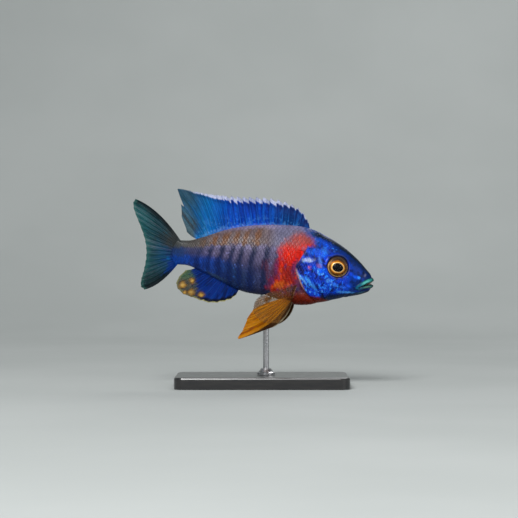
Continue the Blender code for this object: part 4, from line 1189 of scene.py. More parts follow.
def new_group(name, inputs, outputs):
    """An empty shader group with named sockets: kind is Float, Color or Vector."""
    tree = bpy.data.node_groups.new(name, "ShaderNodeTree")
    for label, kind, value in inputs:
        socket = tree.interface.new_socket(label, in_out="INPUT", socket_type="NodeSocket" + kind)
        if value is not None:
            socket.default_value = value
    for label, kind in outputs:
        tree.interface.new_socket(label, in_out="OUTPUT", socket_type="NodeSocket" + kind)
    return tree, tree.nodes.new("NodeGroupInput"), tree.nodes.new("NodeGroupOutput")


def use_group(tree, group, links):
    """The outputs of a group placed in a material."""
    return add(tree, "ShaderNodeGroup", links, node_tree=group).outputs


def speckle_group():
    """Flecks strewn over a ground colour, as many as their share asks, with a faint change of tone."""
    inputs = [("Place", "Vector", None), ("Ground", "Color", None), ("Fleck", "Color", None)]
    inputs += [("Share", "Float", 0.3), ("Per metre", "Float", 900.0)]
    tree, start, end = new_group("speckles", inputs, [("Colour", "Color")])
    at = start.outputs
    grain = noise(tree, at["Place"], at["Per metre"], 3.0, 0.6)
    threshold = maths(tree, "MULTIPLY_ADD", at["Share"], -0.42, 0.78)
    mask = ramped(tree, maths(tree, "SUBTRACT", grain, threshold), -0.06, 0.12)
    tone = ramped(tree, noise(tree, at["Place"], 2600.0, 2.0), 0.3, 0.7, 0.78, 1.2)
    wire(tree, end, {"Colour": scaled(tree, mixed(tree, mask, at["Ground"], at["Fleck"]), tone)})
    return tree


def wet_group():
    """Roughness and fine height of wet skin: small pores over a slow change of gloss."""
    inputs = [("Place", "Vector", None), ("Least", "Float", 0.2), ("Most", "Float", 0.45)]
    tree, start, end = new_group("wet_skin", inputs, [("Roughness", "Float"), ("Height", "Float")])
    at = start.outputs
    slow = ramped(tree, noise(tree, at["Place"], 320.0, 3.0), 0.3, 0.7)
    spread = maths(tree, "SUBTRACT", at["Most"], at["Least"])
    pores = noise(tree, at["Place"], 5200.0, 2.0, 0.6)
    folds = noise(tree, at["Place"], 1500.0, 2.0, 0.5)
    wire(tree, end, {
        "Roughness": maths(tree, "MULTIPLY_ADD", slow, spread, at["Least"]),
        "Height": maths(tree, "MULTIPLY_ADD", folds, 1.5, pores),
    })
    return tree


def wet_film(tree, wet, least, most):
    """The wet skin's roughness between two values, and its height."""
    return use_group(tree, wet, {"Place": object_place(tree), "Least": least, "Most": most})


def speckled(tree, speckles, share, per_metre):
    """The painted ground of skin or scales, with its flecks."""
    marks = {"Ground": attribute(tree, "ground"), "Fleck": attribute(tree, "fleck"), "Share": share}
    return use_group(tree, speckles, {"Place": object_place(tree), "Per metre": per_metre, **marks})["Colour"]


def new_material(name):
    """A material with its tree and its main shader."""
    made = bpy.data.materials.new(name)
    made.use_nodes = True
    return made, made.node_tree, made.node_tree.nodes["Principled BSDF"]


def bumped(tree, height, strength, distance):
    """A normal from a height; distance is the height's full range in metres."""
    links = {"Height": height, "Strength": strength, "Distance": distance}
    return add(tree, "ShaderNodeBump", links).outputs[0]


def skin_material(speckles, wet):
    """Bare wet skin: the painted ground with flecks, under a clear coat."""
    made, tree, shader = new_material("fish_skin")
    film = wet_film(tree, wet, 0.26, 0.44)
    wire(tree, shader, {
        "Base Color": speckled(tree, speckles, attribute(tree, "share", "Fac"), 900.0),
        "Roughness": film["Roughness"], "Normal": bumped(tree, film["Height"], 0.35, 0.00006),
        "Coat Weight": 0.05, "Coat Roughness": 0.14, "Specular IOR Level": 0.14,
    })
    return made


def scale_material(name, speckles, wet, per_metre, rim_shade):
    """Scales: each a little lighter or darker than the next, with painted shade at the rim."""
    made, tree, shader = new_material(name)
    chance = attribute(tree, "chance", "Fac")
    lifted = maths(tree, "MULTIPLY_ADD", chance, 0.5, -0.2)
    share = maths(tree, "ADD", attribute(tree, "share", "Fac"), lifted)
    own = maths(tree, "MULTIPLY_ADD", chance, 0.30, 0.84)
    # Painted shade darkens each scale's rim.
    rim = maths(tree, "MULTIPLY_ADD", attribute(tree, "edge", "Fac"), -rim_shade, 1.0)
    colour = speckled(tree, speckles, share, per_metre)
    film = wet_film(tree, wet, 0.29, 0.46)
    wire(tree, shader, {
        "Base Color": scaled(tree, colour, maths(tree, "MULTIPLY", own, rim)),
        "Roughness": film["Roughness"], "Normal": bumped(tree, film["Height"], 0.3, 0.00005),
        "Coat Weight": 0.05, "Coat Roughness": 0.14, "Specular IOR Level": 0.16,
    })
    return made


def show(tree, surface):
    """A shader other than the main one, set as the material's surface."""
    tree.links.new(surface, tree.nodes["Material Output"].inputs["Surface"])


def fin_material(name, wet, glow):
    """Fin membrane: painted streaks, part of the light carried through, and clear where the fin is thin."""
    made, tree, shader = new_material(name)
    streak = map_streaks(tree, (420.0, 26.0, 1.0))
    colour = scaled(tree, attribute(tree, "ground"), ramped(tree, streak, 0.3, 0.7, 0.72, 1.25))
    film = wet_film(tree, wet, 0.28, 0.46)
    jointed = maths(tree, "MULTIPLY_ADD", attribute(tree, "joints", "Fac"), 0.8, film["Height"])
    normal = bumped(tree, maths(tree, "MULTIPLY_ADD", streak, 0.6, jointed), 0.35, 0.00008)
    looks = {"Base Color": colour, "Roughness": film["Roughness"], "Normal": normal}
    wire(tree, shader, {**looks, "Specular IOR Level": 0.16})
    through = add(tree, "ShaderNodeBsdfTranslucent", {"Color": colour, "Normal": normal}).outputs[0]
    thin = add(tree, "ShaderNodeBsdfTransparent").outputs[0]
    filled = maths(tree, "SUBTRACT", 1.0, attribute(tree, "clear", "Fac"))
    show(tree, blended(tree, filled, thin, blended(tree, glow, shader.outputs[0], through)))
    return made


def iris_material(wet):
    """Iris and pupil: painted rings with fine spokes and a metallic gleam."""
    made, tree, shader = new_material("iris")
    streak = map_streaks(tree, (90.0, 6.0, 1.0))
    wire(tree, shader, {
        "Base Color": scaled(tree, attribute(tree, "ground"), ramped(tree, streak, 0.3, 0.7, 0.7, 1.3)),
        "Roughness": wet_film(tree, wet, 0.25, 0.4)["Roughness"], "Metallic": attribute(tree, "gleam", "Fac"),
        "Normal": bumped(tree, streak, 0.4, 0.0001), "Specular IOR Level": 0.1,
    })
    return made


def cornea_material():
    """The eye's clear dome: see-through, with a sharp highlight that grows towards its rim."""
    made, tree, shader = new_material("cornea")
    tree.nodes.remove(shader)
    clear = add(tree, "ShaderNodeBsdfTransparent").outputs[0]
    gloss = add(tree, "ShaderNodeBsdfGlossy", {"Roughness": 0.06}).outputs[0]
    show(tree, blended(tree, add(tree, "ShaderNodeFresnel", {"IOR": 1.16}).outputs[0], clear, gloss))
    return made


BLACK, BLACK_WARM = (0.010, 0.010, 0.011, 1), (0.022, 0.020, 0.019, 1)
STEEL_DARK, STEEL_BRIGHT = (0.42, 0.42, 0.43, 1), (0.62, 0.62, 0.64, 1)
FLOOR_DARK, FLOOR_PALE = (0.40, 0.425, 0.415, 1), (0.43, 0.455, 0.445, 1)


def lacquer_material():
    """Black satin lacquer over fine wood grain."""
    made, tree, shader = new_material("stand_lacquer")
    place = object_place(tree)
    grain = noise(tree, stretched(tree, place, (0.12, 1.0, 1.0)), 900.0, 4.0, 0.6)
    dust = noise(tree, place, 260.0, 3.0, 0.6)
    wire(tree, shader, {
        "Base Color": mixed(tree, ramped(tree, grain, 0.35, 0.75), BLACK, BLACK_WARM),
        "Roughness": ramped(tree, dust, 0.3, 0.7, 0.31, 0.36), "Normal": bumped(tree, grain, 0.25, 0.00006),
        "Coat Weight": 0.4, "Coat Roughness": 0.18,
    })
    return made


def steel_material():
    """Steel brushed round the rod: fine level lines and a slow change of shine."""
    made, tree, shader = new_material("stand_steel")
    place = object_place(tree)
    lines = noise(tree, stretched(tree, place, (0.08, 0.08, 1.0)), 7000.0, 3.0, 0.6)
    slow = noise(tree, place, 200.0, 2.0)
    wire(tree, shader, {
        "Base Color": mixed(tree, ramped(tree, lines, 0.3, 0.7), STEEL_DARK, STEEL_BRIGHT),
        "Metallic": 1.0, "Roughness": ramped(tree, slow, 0.3, 0.7, 0.24, 0.38),
        "Normal": bumped(tree, lines, 0.3, 0.00003),
    })
    return made


def floor_material():
    """A plain pale sweep with the faintest mottle."""
    made, tree, shader = new_material("pale_sweep")
    mottle = ramped(tree, noise(tree, object_place(tree), 6.0, 3.0), 0.3, 0.7)
    wire(tree, shader, {"Base Color": mixed(tree, mottle, FLOOR_DARK, FLOOR_PALE), "Roughness": 0.85})
    return made


# Eyes.

IRIS_RINGS = 60
IRIS_SPOKES, CORNEA_SPOKES = 96, 64
PUPIL_SHIFT = (0.25, -0.55)
PUPIL_WIDE, PUPIL_TALL = 1.11, 0.90


def iris_paint(radius, upright, angle):
    """Black pupil in a gold ring, amber iris, browner outside, painted shade over its upper part, a pale
    thread and a dark rim.
    """
    wave = 0.12 * np.sin(3 * angle + 0.6) + 0.07 * np.sin(7 * angle)
    r = radius + wave * step(radius, 2.6, 3.4) * step(radius, 5.3, 4.6)
    colour = lay((168, 94, 12), (92, 54, 16), step(r, 3.2, 4.0))
    colour = lay(colour, (136, 98, 42), 0.6 * hump(r, 4.5, 0.3))
    # Painted shade: the iris darkens towards its top.
    colour = lay(colour, (50, 40, 34), 0.85 * step(upright, 0.8, 3.6) * step(r, 3.2, 3.8))
    pupil = r * np.hypot(np.cos(angle) / PUPIL_WIDE, np.sin(angle) / PUPIL_TALL)
    colour = lay(colour, (255, 168, 34), hump(pupil, 2.93, 0.27))
    colour = lay(colour, (255, 218, 150), 0.9 * hump(pupil, 2.74, 0.18))
    colour = lay(colour, (232, 190, 130), 0.9 * hump(r, 5.02, 0.16) * step(upright, 2.5, -1.0))
    colour = lay(colour, (24, 28, 52), step(radius, 5.25, 5.45))
    return lay(colour, (1, 2, 6), step(pupil, 2.60, 2.46))


def eye_profile():
    """The eyeball's profile as (radius, height): domed pupil, iris in a slight trough, rounded rear."""
    front = np.linspace(0.1, EYE_RADIUS, IRIS_RINGS)
    iris = 3.35 * arch(front, EYE_CURVE) - EYE_SUNK - 0.16 * step(front, 2.3, 2.6) * step(front, 5.2, 4.4)
    iris = iris + 0.14 * hump(front, 2.85, 0.3) + 0.10 * hump(front, 4.95, 0.3) + 0.20 * arch(front, 2.4)
    turn = np.linspace(0, math.pi / 2, 12)[1:-1]
    rear = iris[-1] - 1.6 * np.sin(turn)
    return np.concatenate([front, EYE_RADIUS * np.cos(turn)]), np.concatenate([iris, rear])


def cornea_profile():
    """The cornea's profile as (radius, height): the outer dome from its middle out, the inner one back."""
    reach = np.linspace(0.1, 5.0, 26)
    dome = 3.45 * arch(reach, EYE_CURVE) - EYE_SUNK + 0.62 * np.clip(1 - (reach / 4.6) ** 2, 0, None) + 0.05
    under = dome - 0.12 * np.clip(1.02 - reach / 5.0, 0.02, 1) - 0.03
    return np.concatenate([reach, reach[::-1]]), np.concatenate([dome, under[::-1]])


def eye_piece(name, side, rings, poles, material, values=None, colours=None):
    """A turned piece set in its socket; on the right side it is a mirror image, so its faces are turned."""
    place, facing, level, upright = eye_frame(side)
    flat, faces, uv = closed_grid(rings, np.array(poles))
    points = flat @ np.stack([level, upright, facing]) + place
    return new_piece(name, posed(points) / 1000, *turned(faces, uv, side < 0), material, values, colours)


def revolved(radius, height, spokes):
    """A profile of radius and height turned round an axis: rings of places, and the angle of each spoke."""
    angle = np.linspace(0, 2 * math.pi, spokes, endpoint=False)
    ring = np.stack([np.cos(angle), np.sin(angle)], -1)
    flat = radius[:, None, None] * ring
    return np.concatenate([flat, np.broadcast_to(height[:, None, None], flat.shape[:2] + (1,))], -1), angle


def make_eye(side, material, clear):
    """One eye: a flattened ball with ringed iris and domed pupil, and over it a clear dome."""
    name = SIDE_NAMES[side]
    radius, height = eye_profile()
    rings, angle = revolved(radius, height, IRIS_SPOKES)
    rings[..., :2] += np.array(PUPIL_SHIFT) * (1 - step(radius, 2.9, 5.3))[:, None, None]
    rise = rings[..., 1]
    ground = iris_paint(radius[:, None] + 0 * rise, rise, angle + 0 * rise)
    gleam = 0.3 * (step(radius, 2.5, 2.8) * step(radius, 5.2, 4.9))[:, None] + 0 * rise
    poles = [[*PUPIL_SHIFT, height[0]], [0, 0, height[-1]]]
    looks = {"gleam": with_caps(gleam)}, {"ground": with_caps(ground)}
    ball_piece = eye_piece("eyeball_" + name, side, rings, poles, material, *looks)
    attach(ball_piece, "root")
    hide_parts("eye_" + name)
    reach, dome = cornea_profile()
    rings, _ = revolved(reach, dome, CORNEA_SPOKES)
    lens = eye_piece("cornea_" + name, side, rings, [[0, 0, dome[0]], [0, 0, dome[-1]]], clear)
    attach(lens, "root")


# Fins. Each is a sheet over ray number and share of the way from root to margin.

JOINTS = 150
RAY_PLACES = [0, 0.035, 0.07, 0.11, 0.16, 0.23, 0.31, 0.40, 0.5, 0.60, 0.69, 0.77, 0.84, 0.89, 0.93, 0.965]


def upright_plane(points):
    """Places of the mid plane from (x, z) pairs."""
    points = np.array(points, float)
    return np.column_stack([points[:, 0], np.zeros(len(points)), points[:, 1]])


def soft_edge(count, depth):
    """How far a margin dips between rays: none at the ray, most just ahead of the next."""
    keys = (np.arange(count - 1)[:, None] + [0, 0.22, 0.78]).ravel()
    values = np.outer(np.broadcast_to(depth, count - 1), [0, 0.45, 1.0]).ravel()
    return np.append(keys, count - 1), np.append(values, 0)


def ray_ridge(part, t, spiny):
    """Cross profile of rays, 1 at the crest: one rod for a spine, a rod that forks twice for a soft ray."""
    spine = arch(np.minimum(part, 1 - part), 0.12 - 0.05 * t)
    signed = np.where(part < 0.5, part, part - 1)
    fork = 0.17 * np.clip((t - 0.38) / 0.62, 0, 1) ** 1.2
    second = 0.075 * np.clip((t - 0.68) / 0.32, 0, 1)
    middles = [a * fork + b * second for a in (-1, 1) for b in (-1, 1)]
    soft = np.max([arch(signed - middle, 0.10 - 0.045 * t) for middle in middles], axis=0)
    return np.where(spiny, spine, soft)


def sheet_facing(centre, spread):
    """The way a sheet faces: level to the left for an upright fin, across its own steps for a spread one."""
    if not spread:
        return np.broadcast_to([0.0, 1.0, 0.0], centre.shape)
    facing = unit(np.cross(np.gradient(centre, axis=0), np.gradient(centre, axis=1)))
    return facing * np.where(facing[..., 1:2] < 0, -1, 1)


def fin_sheet(roots, tips, bows, drawn, rows, spines, halves, spread=False, ripple=0.0):
    """A fin's middle sheet, its facing, half thickness and grid values.

    A place is (1-t)^2 root + 2t(1-t)((root+tip)/2 + bow) + t^2 tip, with root, tip and bow eased from ray to
    ray, and the tip drawn back by the margin's dips. Thickness is a thin membrane with rays standing in it;
    halves are the half thickness of the membrane, of rays at root and at tip, and of the fin's base.
    """
    count = len(roots)
    key = np.append((np.arange(count - 1)[:, None] + RAY_PLACES).ravel(), count - 1)
    root, tip, bow = (smooth(np.arange(count), a)(key) for a in (roots, tips, bows))
    back_by = np.interp(key, *drawn)
    tip = tip - (tip - root) * (back_by / np.linalg.norm(tip - root, axis=1))[:, None]
    s = (np.linspace(0, 1, rows) ** 0.92)[:, None, None]
    centre = (1 - s) ** 2 * root + 2 * s * (1 - s) * ((root + tip) / 2 + bow) + s**2 * tip
    key, part, t = np.broadcast_arrays(key, key - np.floor(key), s[..., 0])
    facing = sheet_facing(centre, spread)
    wave = ripple * np.sin(key * 1.3) * t**1.5 + 0.10 * np.sin(2 * math.pi * part) * t
    centre = centre + facing * wave[..., None]
    ridge = ray_ridge(part, t, key < spines - 0.4)
    membrane, at_root, at_tip, base = halves
    half = membrane + (at_root + (at_tip - at_root) * t - membrane) * ridge
    half = np.maximum(half, base * (1 - t / 0.12))
    to_edge = (1 - t) * np.linalg.norm(tip - root, axis=1)
    grid = SimpleNamespace(key=key, part=part, t=t, ridge=ridge)
    grid.to_edge, grid.to_envelope = to_edge, to_edge + back_by
    return centre, facing, half, grid


def make_fin(name, node_name, sheet, paint, material):
    """A fin piece from its sheet: two faces and a rim, painted by a function of place and grid."""
    centre, facing, half, grid = sheet
    rows, columns = half.shape
    size = rows * columns
    stand = facing * half[..., None]
    points = np.concatenate([(centre + stand).reshape(-1, 3), (centre - stand).reshape(-1, 3)])
    face, _ = grid_quads(rows, columns, False)
    rim = grid_rim(rows, columns)
    faces = np.concatenate([face[:, ::-1], face + size, wall_faces(rim, rim + size)])
    row, column = np.divmod(np.arange(size), columns)
    place = np.stack([column / (columns - 1), row / (rows - 1)], -1) * [0.98, 0.48] + 0.01
    uv = place[faces % size]
    uv[len(face) : 2 * len(face), :, 1] += 0.5
    ground, clear = paint(centre, grid)
    joints = 0.5 + 0.5 * np.sin(grid.t * JOINTS) * step(grid.t, 0.2, 0.5)
    made = new_piece(
        name, posed(points) / 1000, *turned(faces, uv, inside_out(points, faces)), material,
        {"clear": np.tile(clear.ravel(), 2), "joints": np.tile((joints * grid.ridge).ravel(), 2)},
        {"ground": np.tile(ground.reshape(-1, 3), (2, 1))},
    )
    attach(made, "root")
    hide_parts(node_name)


def along_rays(grid, by_ray, by_reach, seed):
    """Noise from 0 to 1 in streaks along the rays."""
    return broken_noise(np.stack([grid.key * by_ray, grid.t * by_reach, 0 * grid.t], -1), 1.0, seed)


SPINES = 15
DORSAL_RAYS = 25
DORSAL_SPAN = ([0, 14, 24], [22.2, -18.4, -33.8])
DORSAL_KEYS = (0, 1, 2, 4, 7, 10, 12, 14, 17, 20, 21, 22, 23, 24)
DORSAL_TIPS = [(20.9, 24.6), (19.9, 26.3), (17.1, 29.6), (10.5, 32.8), (-0.5, 34.3)]
DORSAL_TIPS += [(-11.4, 33.5), (-17.5, 33.1), (-23.8, 32.7), (-32.6, 32.6), (-41.4, 33.0)]
DORSAL_TIPS += [(-47.6, 33.0), (-44.9, 25.4), (-43.8, 19.4), (-40.2, 11.8)]
LAPPET = 1.6
LAPPET_PLACES = [0, 0.1, 0.3, 0.55, 0.76, 0.84, 0.93]
LAPPET_DIPS = [1.0, 0.92, 0.66, 0.28, 0.0, 0.18, 0.75]
SPLIT = 21
BAND_DEPTH = ([-40, -32, -24, -12, 8, 20], [0.8, 1.4, 2.4, 3.3, 3.0, 1.2])


def dorsal_edge():
    """Dips of the dorsal's margin: a lappet from each spine, then soft dips between rays, and a tear."""
    keys, values = soft_edge(DORSAL_RAYS, np.where(np.arange(DORSAL_RAYS - 1) == SPLIT, 3.8, 0.5))
    kept = keys >= SPINES - 1
    lappet_keys = (np.arange(SPINES - 1)[:, None] + LAPPET_PLACES).ravel()
    depth = LAPPET * np.clip((np.arange(SPINES - 1) + 1) / 4, 0, 1)
    lappets = np.outer(depth, LAPPET_DIPS).ravel()
    return np.concatenate([lappet_keys, keys[kept]]), np.concatenate([lappets, values[kept]])


def dorsal_blue(centre, level, slant, grid):
    """The web's blues: dark ahead and greener behind, dark beside each ray, with streaks and flecks."""
    part, t = grid.part, grid.t
    blue = lay((0, 74, 198), (4, 66, 132), step(level, 0, 14))
    blue = lay(blue, (0, 118, 180), step(level, -14, -30))
    blue = lay(blue, (48, 38, 110), 0.35 * step(level, -2, 12) * step(grid.to_edge, 7, 3))
    dark = 0.45 * hump(np.minimum(part, 1 - part), 0.2, 0.12)
    dark = dark + 0.5 * np.clip(along_rays(grid, 4, 3, 103) - 0.5, 0, 1)
    blue = lay(blue, (0, 26, 100), dark * step(t, 0.05, 0.25))
    blue = lay(blue, (30, 120, 216), 0.5 * grid.ridge * step(t, 0.95, 0.1))
    blue = lay(blue, (0, 22, 96), 0.36 * step(slant, 0.50, 0.66))
    blue = lay(blue, (18, 112, 216), 0.3 * step(slant, 0.48, 0.36))
    fleck = step(broken_noise(centre, 0.9, 107), 0.56, 0.66) * step(t, 0.5, 0.08)
    return lay(blue, (84, 156, 224), 0.4 * fleck)


def dorsal_rear(centre, level, slant, grid, blue):
    """Olive behind the tear and a dull margin ahead of it, laid over the blue; also where each of them is."""
    torn = step(grid.key, SPLIT + 0.3, SPLIT + 1.2)
    olive = lay((52, 92, 108), (56, 66, 62), step(slant, 0.46, 0.56))
    olive = lay(olive, (112, 140, 140), 0.5 * step(slant, 0.40, 0.34))
    olive = lay(olive, (74, 84, 62), 0.7 * step(grid.key, 22.6, 23.8) * step(grid.t, 0.1, 0.4))
    blue = lay(blue, olive, 0.85 * torn * step(grid.t, 0.1, 0.5))
    margin = 0.45 + 0.55 * step(grid.to_edge + 0.8 * uneven(centre, 1.2, 101), 18, 6)
    rear = step(level + 3 * (slant - 0.5), -27, -38) * margin * (1 - torn)
    return lay(blue, (40, 76, 88), 0.85 * rear), torn, rear


def dorsal_paint(centre, grid):
    """Blue, olive behind the tear, with a navy line under the pale band of the lappets."""
    level, _ = side_view(centre)
    key, t, to_edge = grid.key, grid.t, grid.to_edge
    slant = broken_noise(np.stack([key * 3 + 2.2 * t, t * 1.2, 0 * level], -1), 1.0, 109)
    blue, torn, rear = dorsal_rear(centre, level, slant, grid, dorsal_blue(centre, level, slant, grid))
    upper = step(key, 21.4, 18.8)
    deep = np.interp(level, *BAND_DEPTH) * np.where(key < SPINES - 1, 1.3 - 0.62 * grid.part, 1.0)
    inside = grid.to_envelope + 1.1 * (slant - 0.5)
    blue = lay(blue, (2, 16, 72), 0.4 * hump(inside, deep + 1.1, 0.8) * upper)
    band = step(inside, deep + 0.25, deep - 0.4) * upper
    pale = lay((206, 210, 234), (158, 168, 204), 0.7 * step(slant, 0.46, 0.60))
    pale = lay(pale, (176, 178, 150), 0.5 * step(to_edge, 0.5, 0.2))
    clear = 0.16 * torn * step(t, 0.2, 0.5) + 0.15 * rear + 0.12 * band * step(to_edge, 1.4, 0.2)
    return lay(blue, pale, 0.92 * band), clear * (1 - 0.6 * grid.ridge)


def make_dorsal(material):
    """The dorsal fin: fifteen spines with pointed lappets, then soft rays drawn out to a point."""
    ray = np.arange(DORSAL_RAYS)
    x = np.interp(ray, *DORSAL_SPAN)
    roots = upright_plane(np.column_stack([x, back(x) - 0.7]))
    tips = upright_plane(smooth(DORSAL_KEYS, DORSAL_TIPS)(ray)) - [0, 0, 0.12]
    bows = np.zeros_like(roots)
    soft = np.clip((ray - SPINES) / (SPLIT - SPINES), 0, 1)
    last = step(ray, SPLIT, DORSAL_RAYS - 1)
    bows[:, 0], bows[:, 2] = 1.5 * soft * (1 - last), 2.2 * soft * (1 - 1.5 * last)
    halves = (0.1, 0.42, 0.16, 0.75)
    sheet = fin_sheet(roots, tips, bows, dorsal_edge(), rows=56, spines=SPINES, halves=halves, ripple=0.25)
    make_fin("dorsal_membrane", "dorsal_fin", sheet, dorsal_paint, material)


CAUDAL_RAYS = 17
CAUDAL_KEYS = (0, 1, 2, 4, 6, 8, 10, 12, 14, 15, 16)
CAUDAL_TIPS = [(-68.6, 25.3), (-69.5, 23.5), (-69.0, 20.6), (-65.7, 14.2), (-62.2, 7.4), (-60.0, 0.8)]
CAUDAL_TIPS += [(-59.5, -5.8), (-60.1, -12.0), (-60.6, -17.0), (-60.2, -19.2), (-58.4, -20.4)]
TAIL_SHADOW, TAIL_SPOT = (-50, 12.5, 6, 4, -40), (-47.8, 2.8, 1.6, 1.3, 0)


def caudal_paint(centre, grid):
    """Dusky teal, dark at its upper and lower edges and by the stalk, bluish inside, greener behind."""
    level, upright = side_view(centre)
    fine = uneven(centre, 1.4, 131)
    streak = along_rays(grid, 5, 4, 137) - 0.5
    teal = lay((30, 72, 84), (26, 100, 108), 0.75 * step(level + 3 * fine, -54, -62) * step(upright, -12, 2))
    teal = lay(teal, (24, 46, 52), 0.8 * step(upright + 4 * fine, -1, -7))
    teal = lay(teal, (8, 78, 122), 0.75 * hump(level, -50, 5) * hump(upright, 5, 7))
    teal = lay(teal, (48, 56, 58), 0.6 * step(oval(level, upright, TAIL_SHADOW) + fine, 0, 0.6))
    teal = lay(teal, teal * 0.58, 0.6 * step(streak, 0.0, 0.14))
    teal = lay(teal, (52, 110, 104), 0.25 * grid.ridge * step(grid.t, 0.2, 0.7))
    teal = lay(teal, (0, 136, 196), 0.8 * step(oval(level, upright, TAIL_SPOT) + fine, 0, 0.5))
    joint = step(level + 5 * fine + 6 * streak * step(level, -45, -49), -51.5, -46.0)
    teal = lay(teal, stalk_end_paint(centre), 0.95 * joint)
    edge_key = np.minimum(grid.key, CAUDAL_RAYS - 1 - grid.key)
    teal = lay(teal, (8, 22, 28), 0.9 * step(edge_key + 0.8 * fine, 1.8, 0.4) * step(level, -44, -48))
    teal = lay(teal, (56, 116, 108), 0.5 * step(grid.to_edge + fine, 2.6, 0.6))
    thin = 0.04 + 0.15 * step(grid.to_edge, 5, 0.5)
    return teal, thin * step(grid.t, 0.3, 0.7) * (1 - 0.7 * grid.ridge) * step(edge_key, 0.3, 1.8)


def make_caudal(material):
    """The tail fin: forked rays fan from the stalk's end to a margin that curves in."""
    ray = np.arange(CAUDAL_RAYS)
    share = ray / (CAUDAL_RAYS - 1)
    top, bottom = back(STALK_END) - 0.4, belly(STALK_END) + 0.4
    x = np.full(CAUDAL_RAYS, STALK_END + 0.4)
    roots = upright_plane(np.column_stack([x, top + (bottom - top) * share]))
    tips = upright_plane(smooth(CAUDAL_KEYS, CAUDAL_TIPS)(ray))
    bows = np.zeros_like(roots)
    outer = (1 - 2 * share) ** 3
    bows[:, 2] = np.where(outer > 0, 6.0, 5.2) * outer
    dips = soft_edge(CAUDAL_RAYS, 0.35)
    sheet = fin_sheet(roots, tips, bows, dips, rows=60, spines=0, halves=(0.1, 0.5, 0.14, 0.9), ripple=0.3)
    make_fin("tail_membrane", "caudal_fin", sheet, caudal_paint, material)


ANAL_RAYS = 12
ANAL_SPAN = (-9.9, -33.0)
ANAL_TIPS = [(-11.4, -17.6), (-13.6, -19.9), (-16.7, -21.4), (-20.2, -22.4), (-24.6, -22.9), (-29.2, -22.3)]
ANAL_TIPS += [(-34, -21.2), (-38, -20.2), (-41.2, -17.9), (-42.4, -15.2), (-41.4, -11.7), (-38.5, -7.9)]
EGG_SPOTS = [(-40.6, -10.6, 1.7), (-35.7, -8.4, 1.3), (-36.2, -14.3, 1.6)]
EGG_SPOTS += [(-31.1, -15.8, 1.4), (-39.6, -14.6, 0.9)]


def egg_spots(level, upright, fine, ground):
    """Yellow spots, each paler in its middle and ringed with brown."""
    for middle_x, middle_z, radius in EGG_SPOTS:
        field = oval(level, upright, (middle_x, middle_z, radius, radius, 0))
        ground = lay(ground, (84, 46, 20), 0.7 * step(field + 1.2 * fine, -0.9, 0.1))
        ground = lay(ground, (188, 142, 44), 0.85 * step(field + 1.2 * fine, -0.5, 0.75))
        ground = lay(ground, (216, 178, 92), 0.7 * step(field + 0.6 * fine, 0.35, 0.9))
    return ground


def anal_paint(centre, grid):
    """Deep blue, black with a pale fringe at the front and below, green behind, with yellow egg spots."""
    level, upright = side_view(centre)
    fine = uneven(centre, 1.1, 151)
    streak = along_rays(grid, 5, 3, 157) - 0.5
    blue = lay((0, 44, 130), (0, 22, 76), 0.75 * step(streak, 0, 0.15))
    blue = lay(blue, (0, 72, 158), 0.4 * grid.ridge)
    behind = step(level + 5 * fine + 0.25 * (upright + 12), -31.5, -36.0)
    olive = lay((92, 84, 44), (44, 58, 48), step(streak, -0.02, 0.1))
    olive = lay(olive, (60, 96, 48), step(upright, -9.5, -6.0))
    olive = lay(olive, (150, 146, 84), 0.7 * step(grid.to_edge, 1.8, 0.5))
    blue = egg_spots(level, upright, fine, lay(blue, olive, 0.9 * behind))
    edge = grid.to_edge + 0.6 * fine
    ahead = step(grid.key, 6.5, 4.5)
    blue = lay(blue, (4, 8, 22), 0.92 * step(edge, 2.8, 1.5) * ahead)
    blue = lay(blue, (206, 198, 128), 0.85 * step(edge, 0.6, 0.3) * ahead)
    return blue, 0.28 * behind * (1 - 0.7 * grid.ridge)


def make_anal(material):
    """The anal fin: three spines and nine soft rays, swept back to a blunt point."""
    ray = np.arange(ANAL_RAYS)
    x = np.linspace(*ANAL_SPAN, ANAL_RAYS)
    roots = upright_plane(np.column_stack([x, belly(x) + 0.7]))
    bows = np.zeros_like(roots)
    bows[:, 2] = -0.8 * ray / ANAL_RAYS
    dips = soft_edge(ANAL_RAYS, np.where(ray[:-1] < 3, 0.7, 0.4))
    tips, halves = upright_plane(ANAL_TIPS), (0.1, 0.42, 0.14, 0.7)
    sheet = fin_sheet(roots, tips, bows, dips, rows=46, spines=3, halves=halves, ripple=0.2)
    make_fin("anal_membrane", "anal_fin", sheet, anal_paint, material)


PELVIC_RAYS = 6
PELVIC_SPAN, PELVIC_APART = (17.6, 12.9), 3.1
PELVIC_TIPS = [(9.9, -30.8), (-6.7, -38.8), (-5.4, -33.6), (-4.2, -28.4), (-1.6, -23.4), (3.4, -19.9)]
PELVIC_SPLAY = {-1: math.radians(17), 1: math.radians(35)}
PELVIC_AHEAD = {-1: 0.0, 1: 1.3}
PELVIC_SWING = math.radians(4)


def pelvic_paint(centre, grid):
    """Amber orange, browner at the root, behind a dark leading edge with a cream line outside it."""
    amber = lay((210, 138, 0), (164, 88, 0), step(along_rays(grid, 6, 3, 173) - 0.5, 0, 0.16))
    amber = lay(amber, (222, 160, 22), 0.5 * grid.ridge)
    amber = lay(amber, (150, 70, 20), 0.5 * step(grid.t, 0.22, 0.0))
    key = grid.key + 0.25 * uneven(centre, 1.3, 171)
    amber = lay(amber, (40, 20, 14), 0.9 * step(key, 1.15, 0.75))
    amber = lay(amber, (196, 184, 148), 0.7 * step(key, 0.12, 0.05))
    return amber, 0.12 * step(key, 1.0, 1.6) * (1 - 0.7 * grid.ridge)


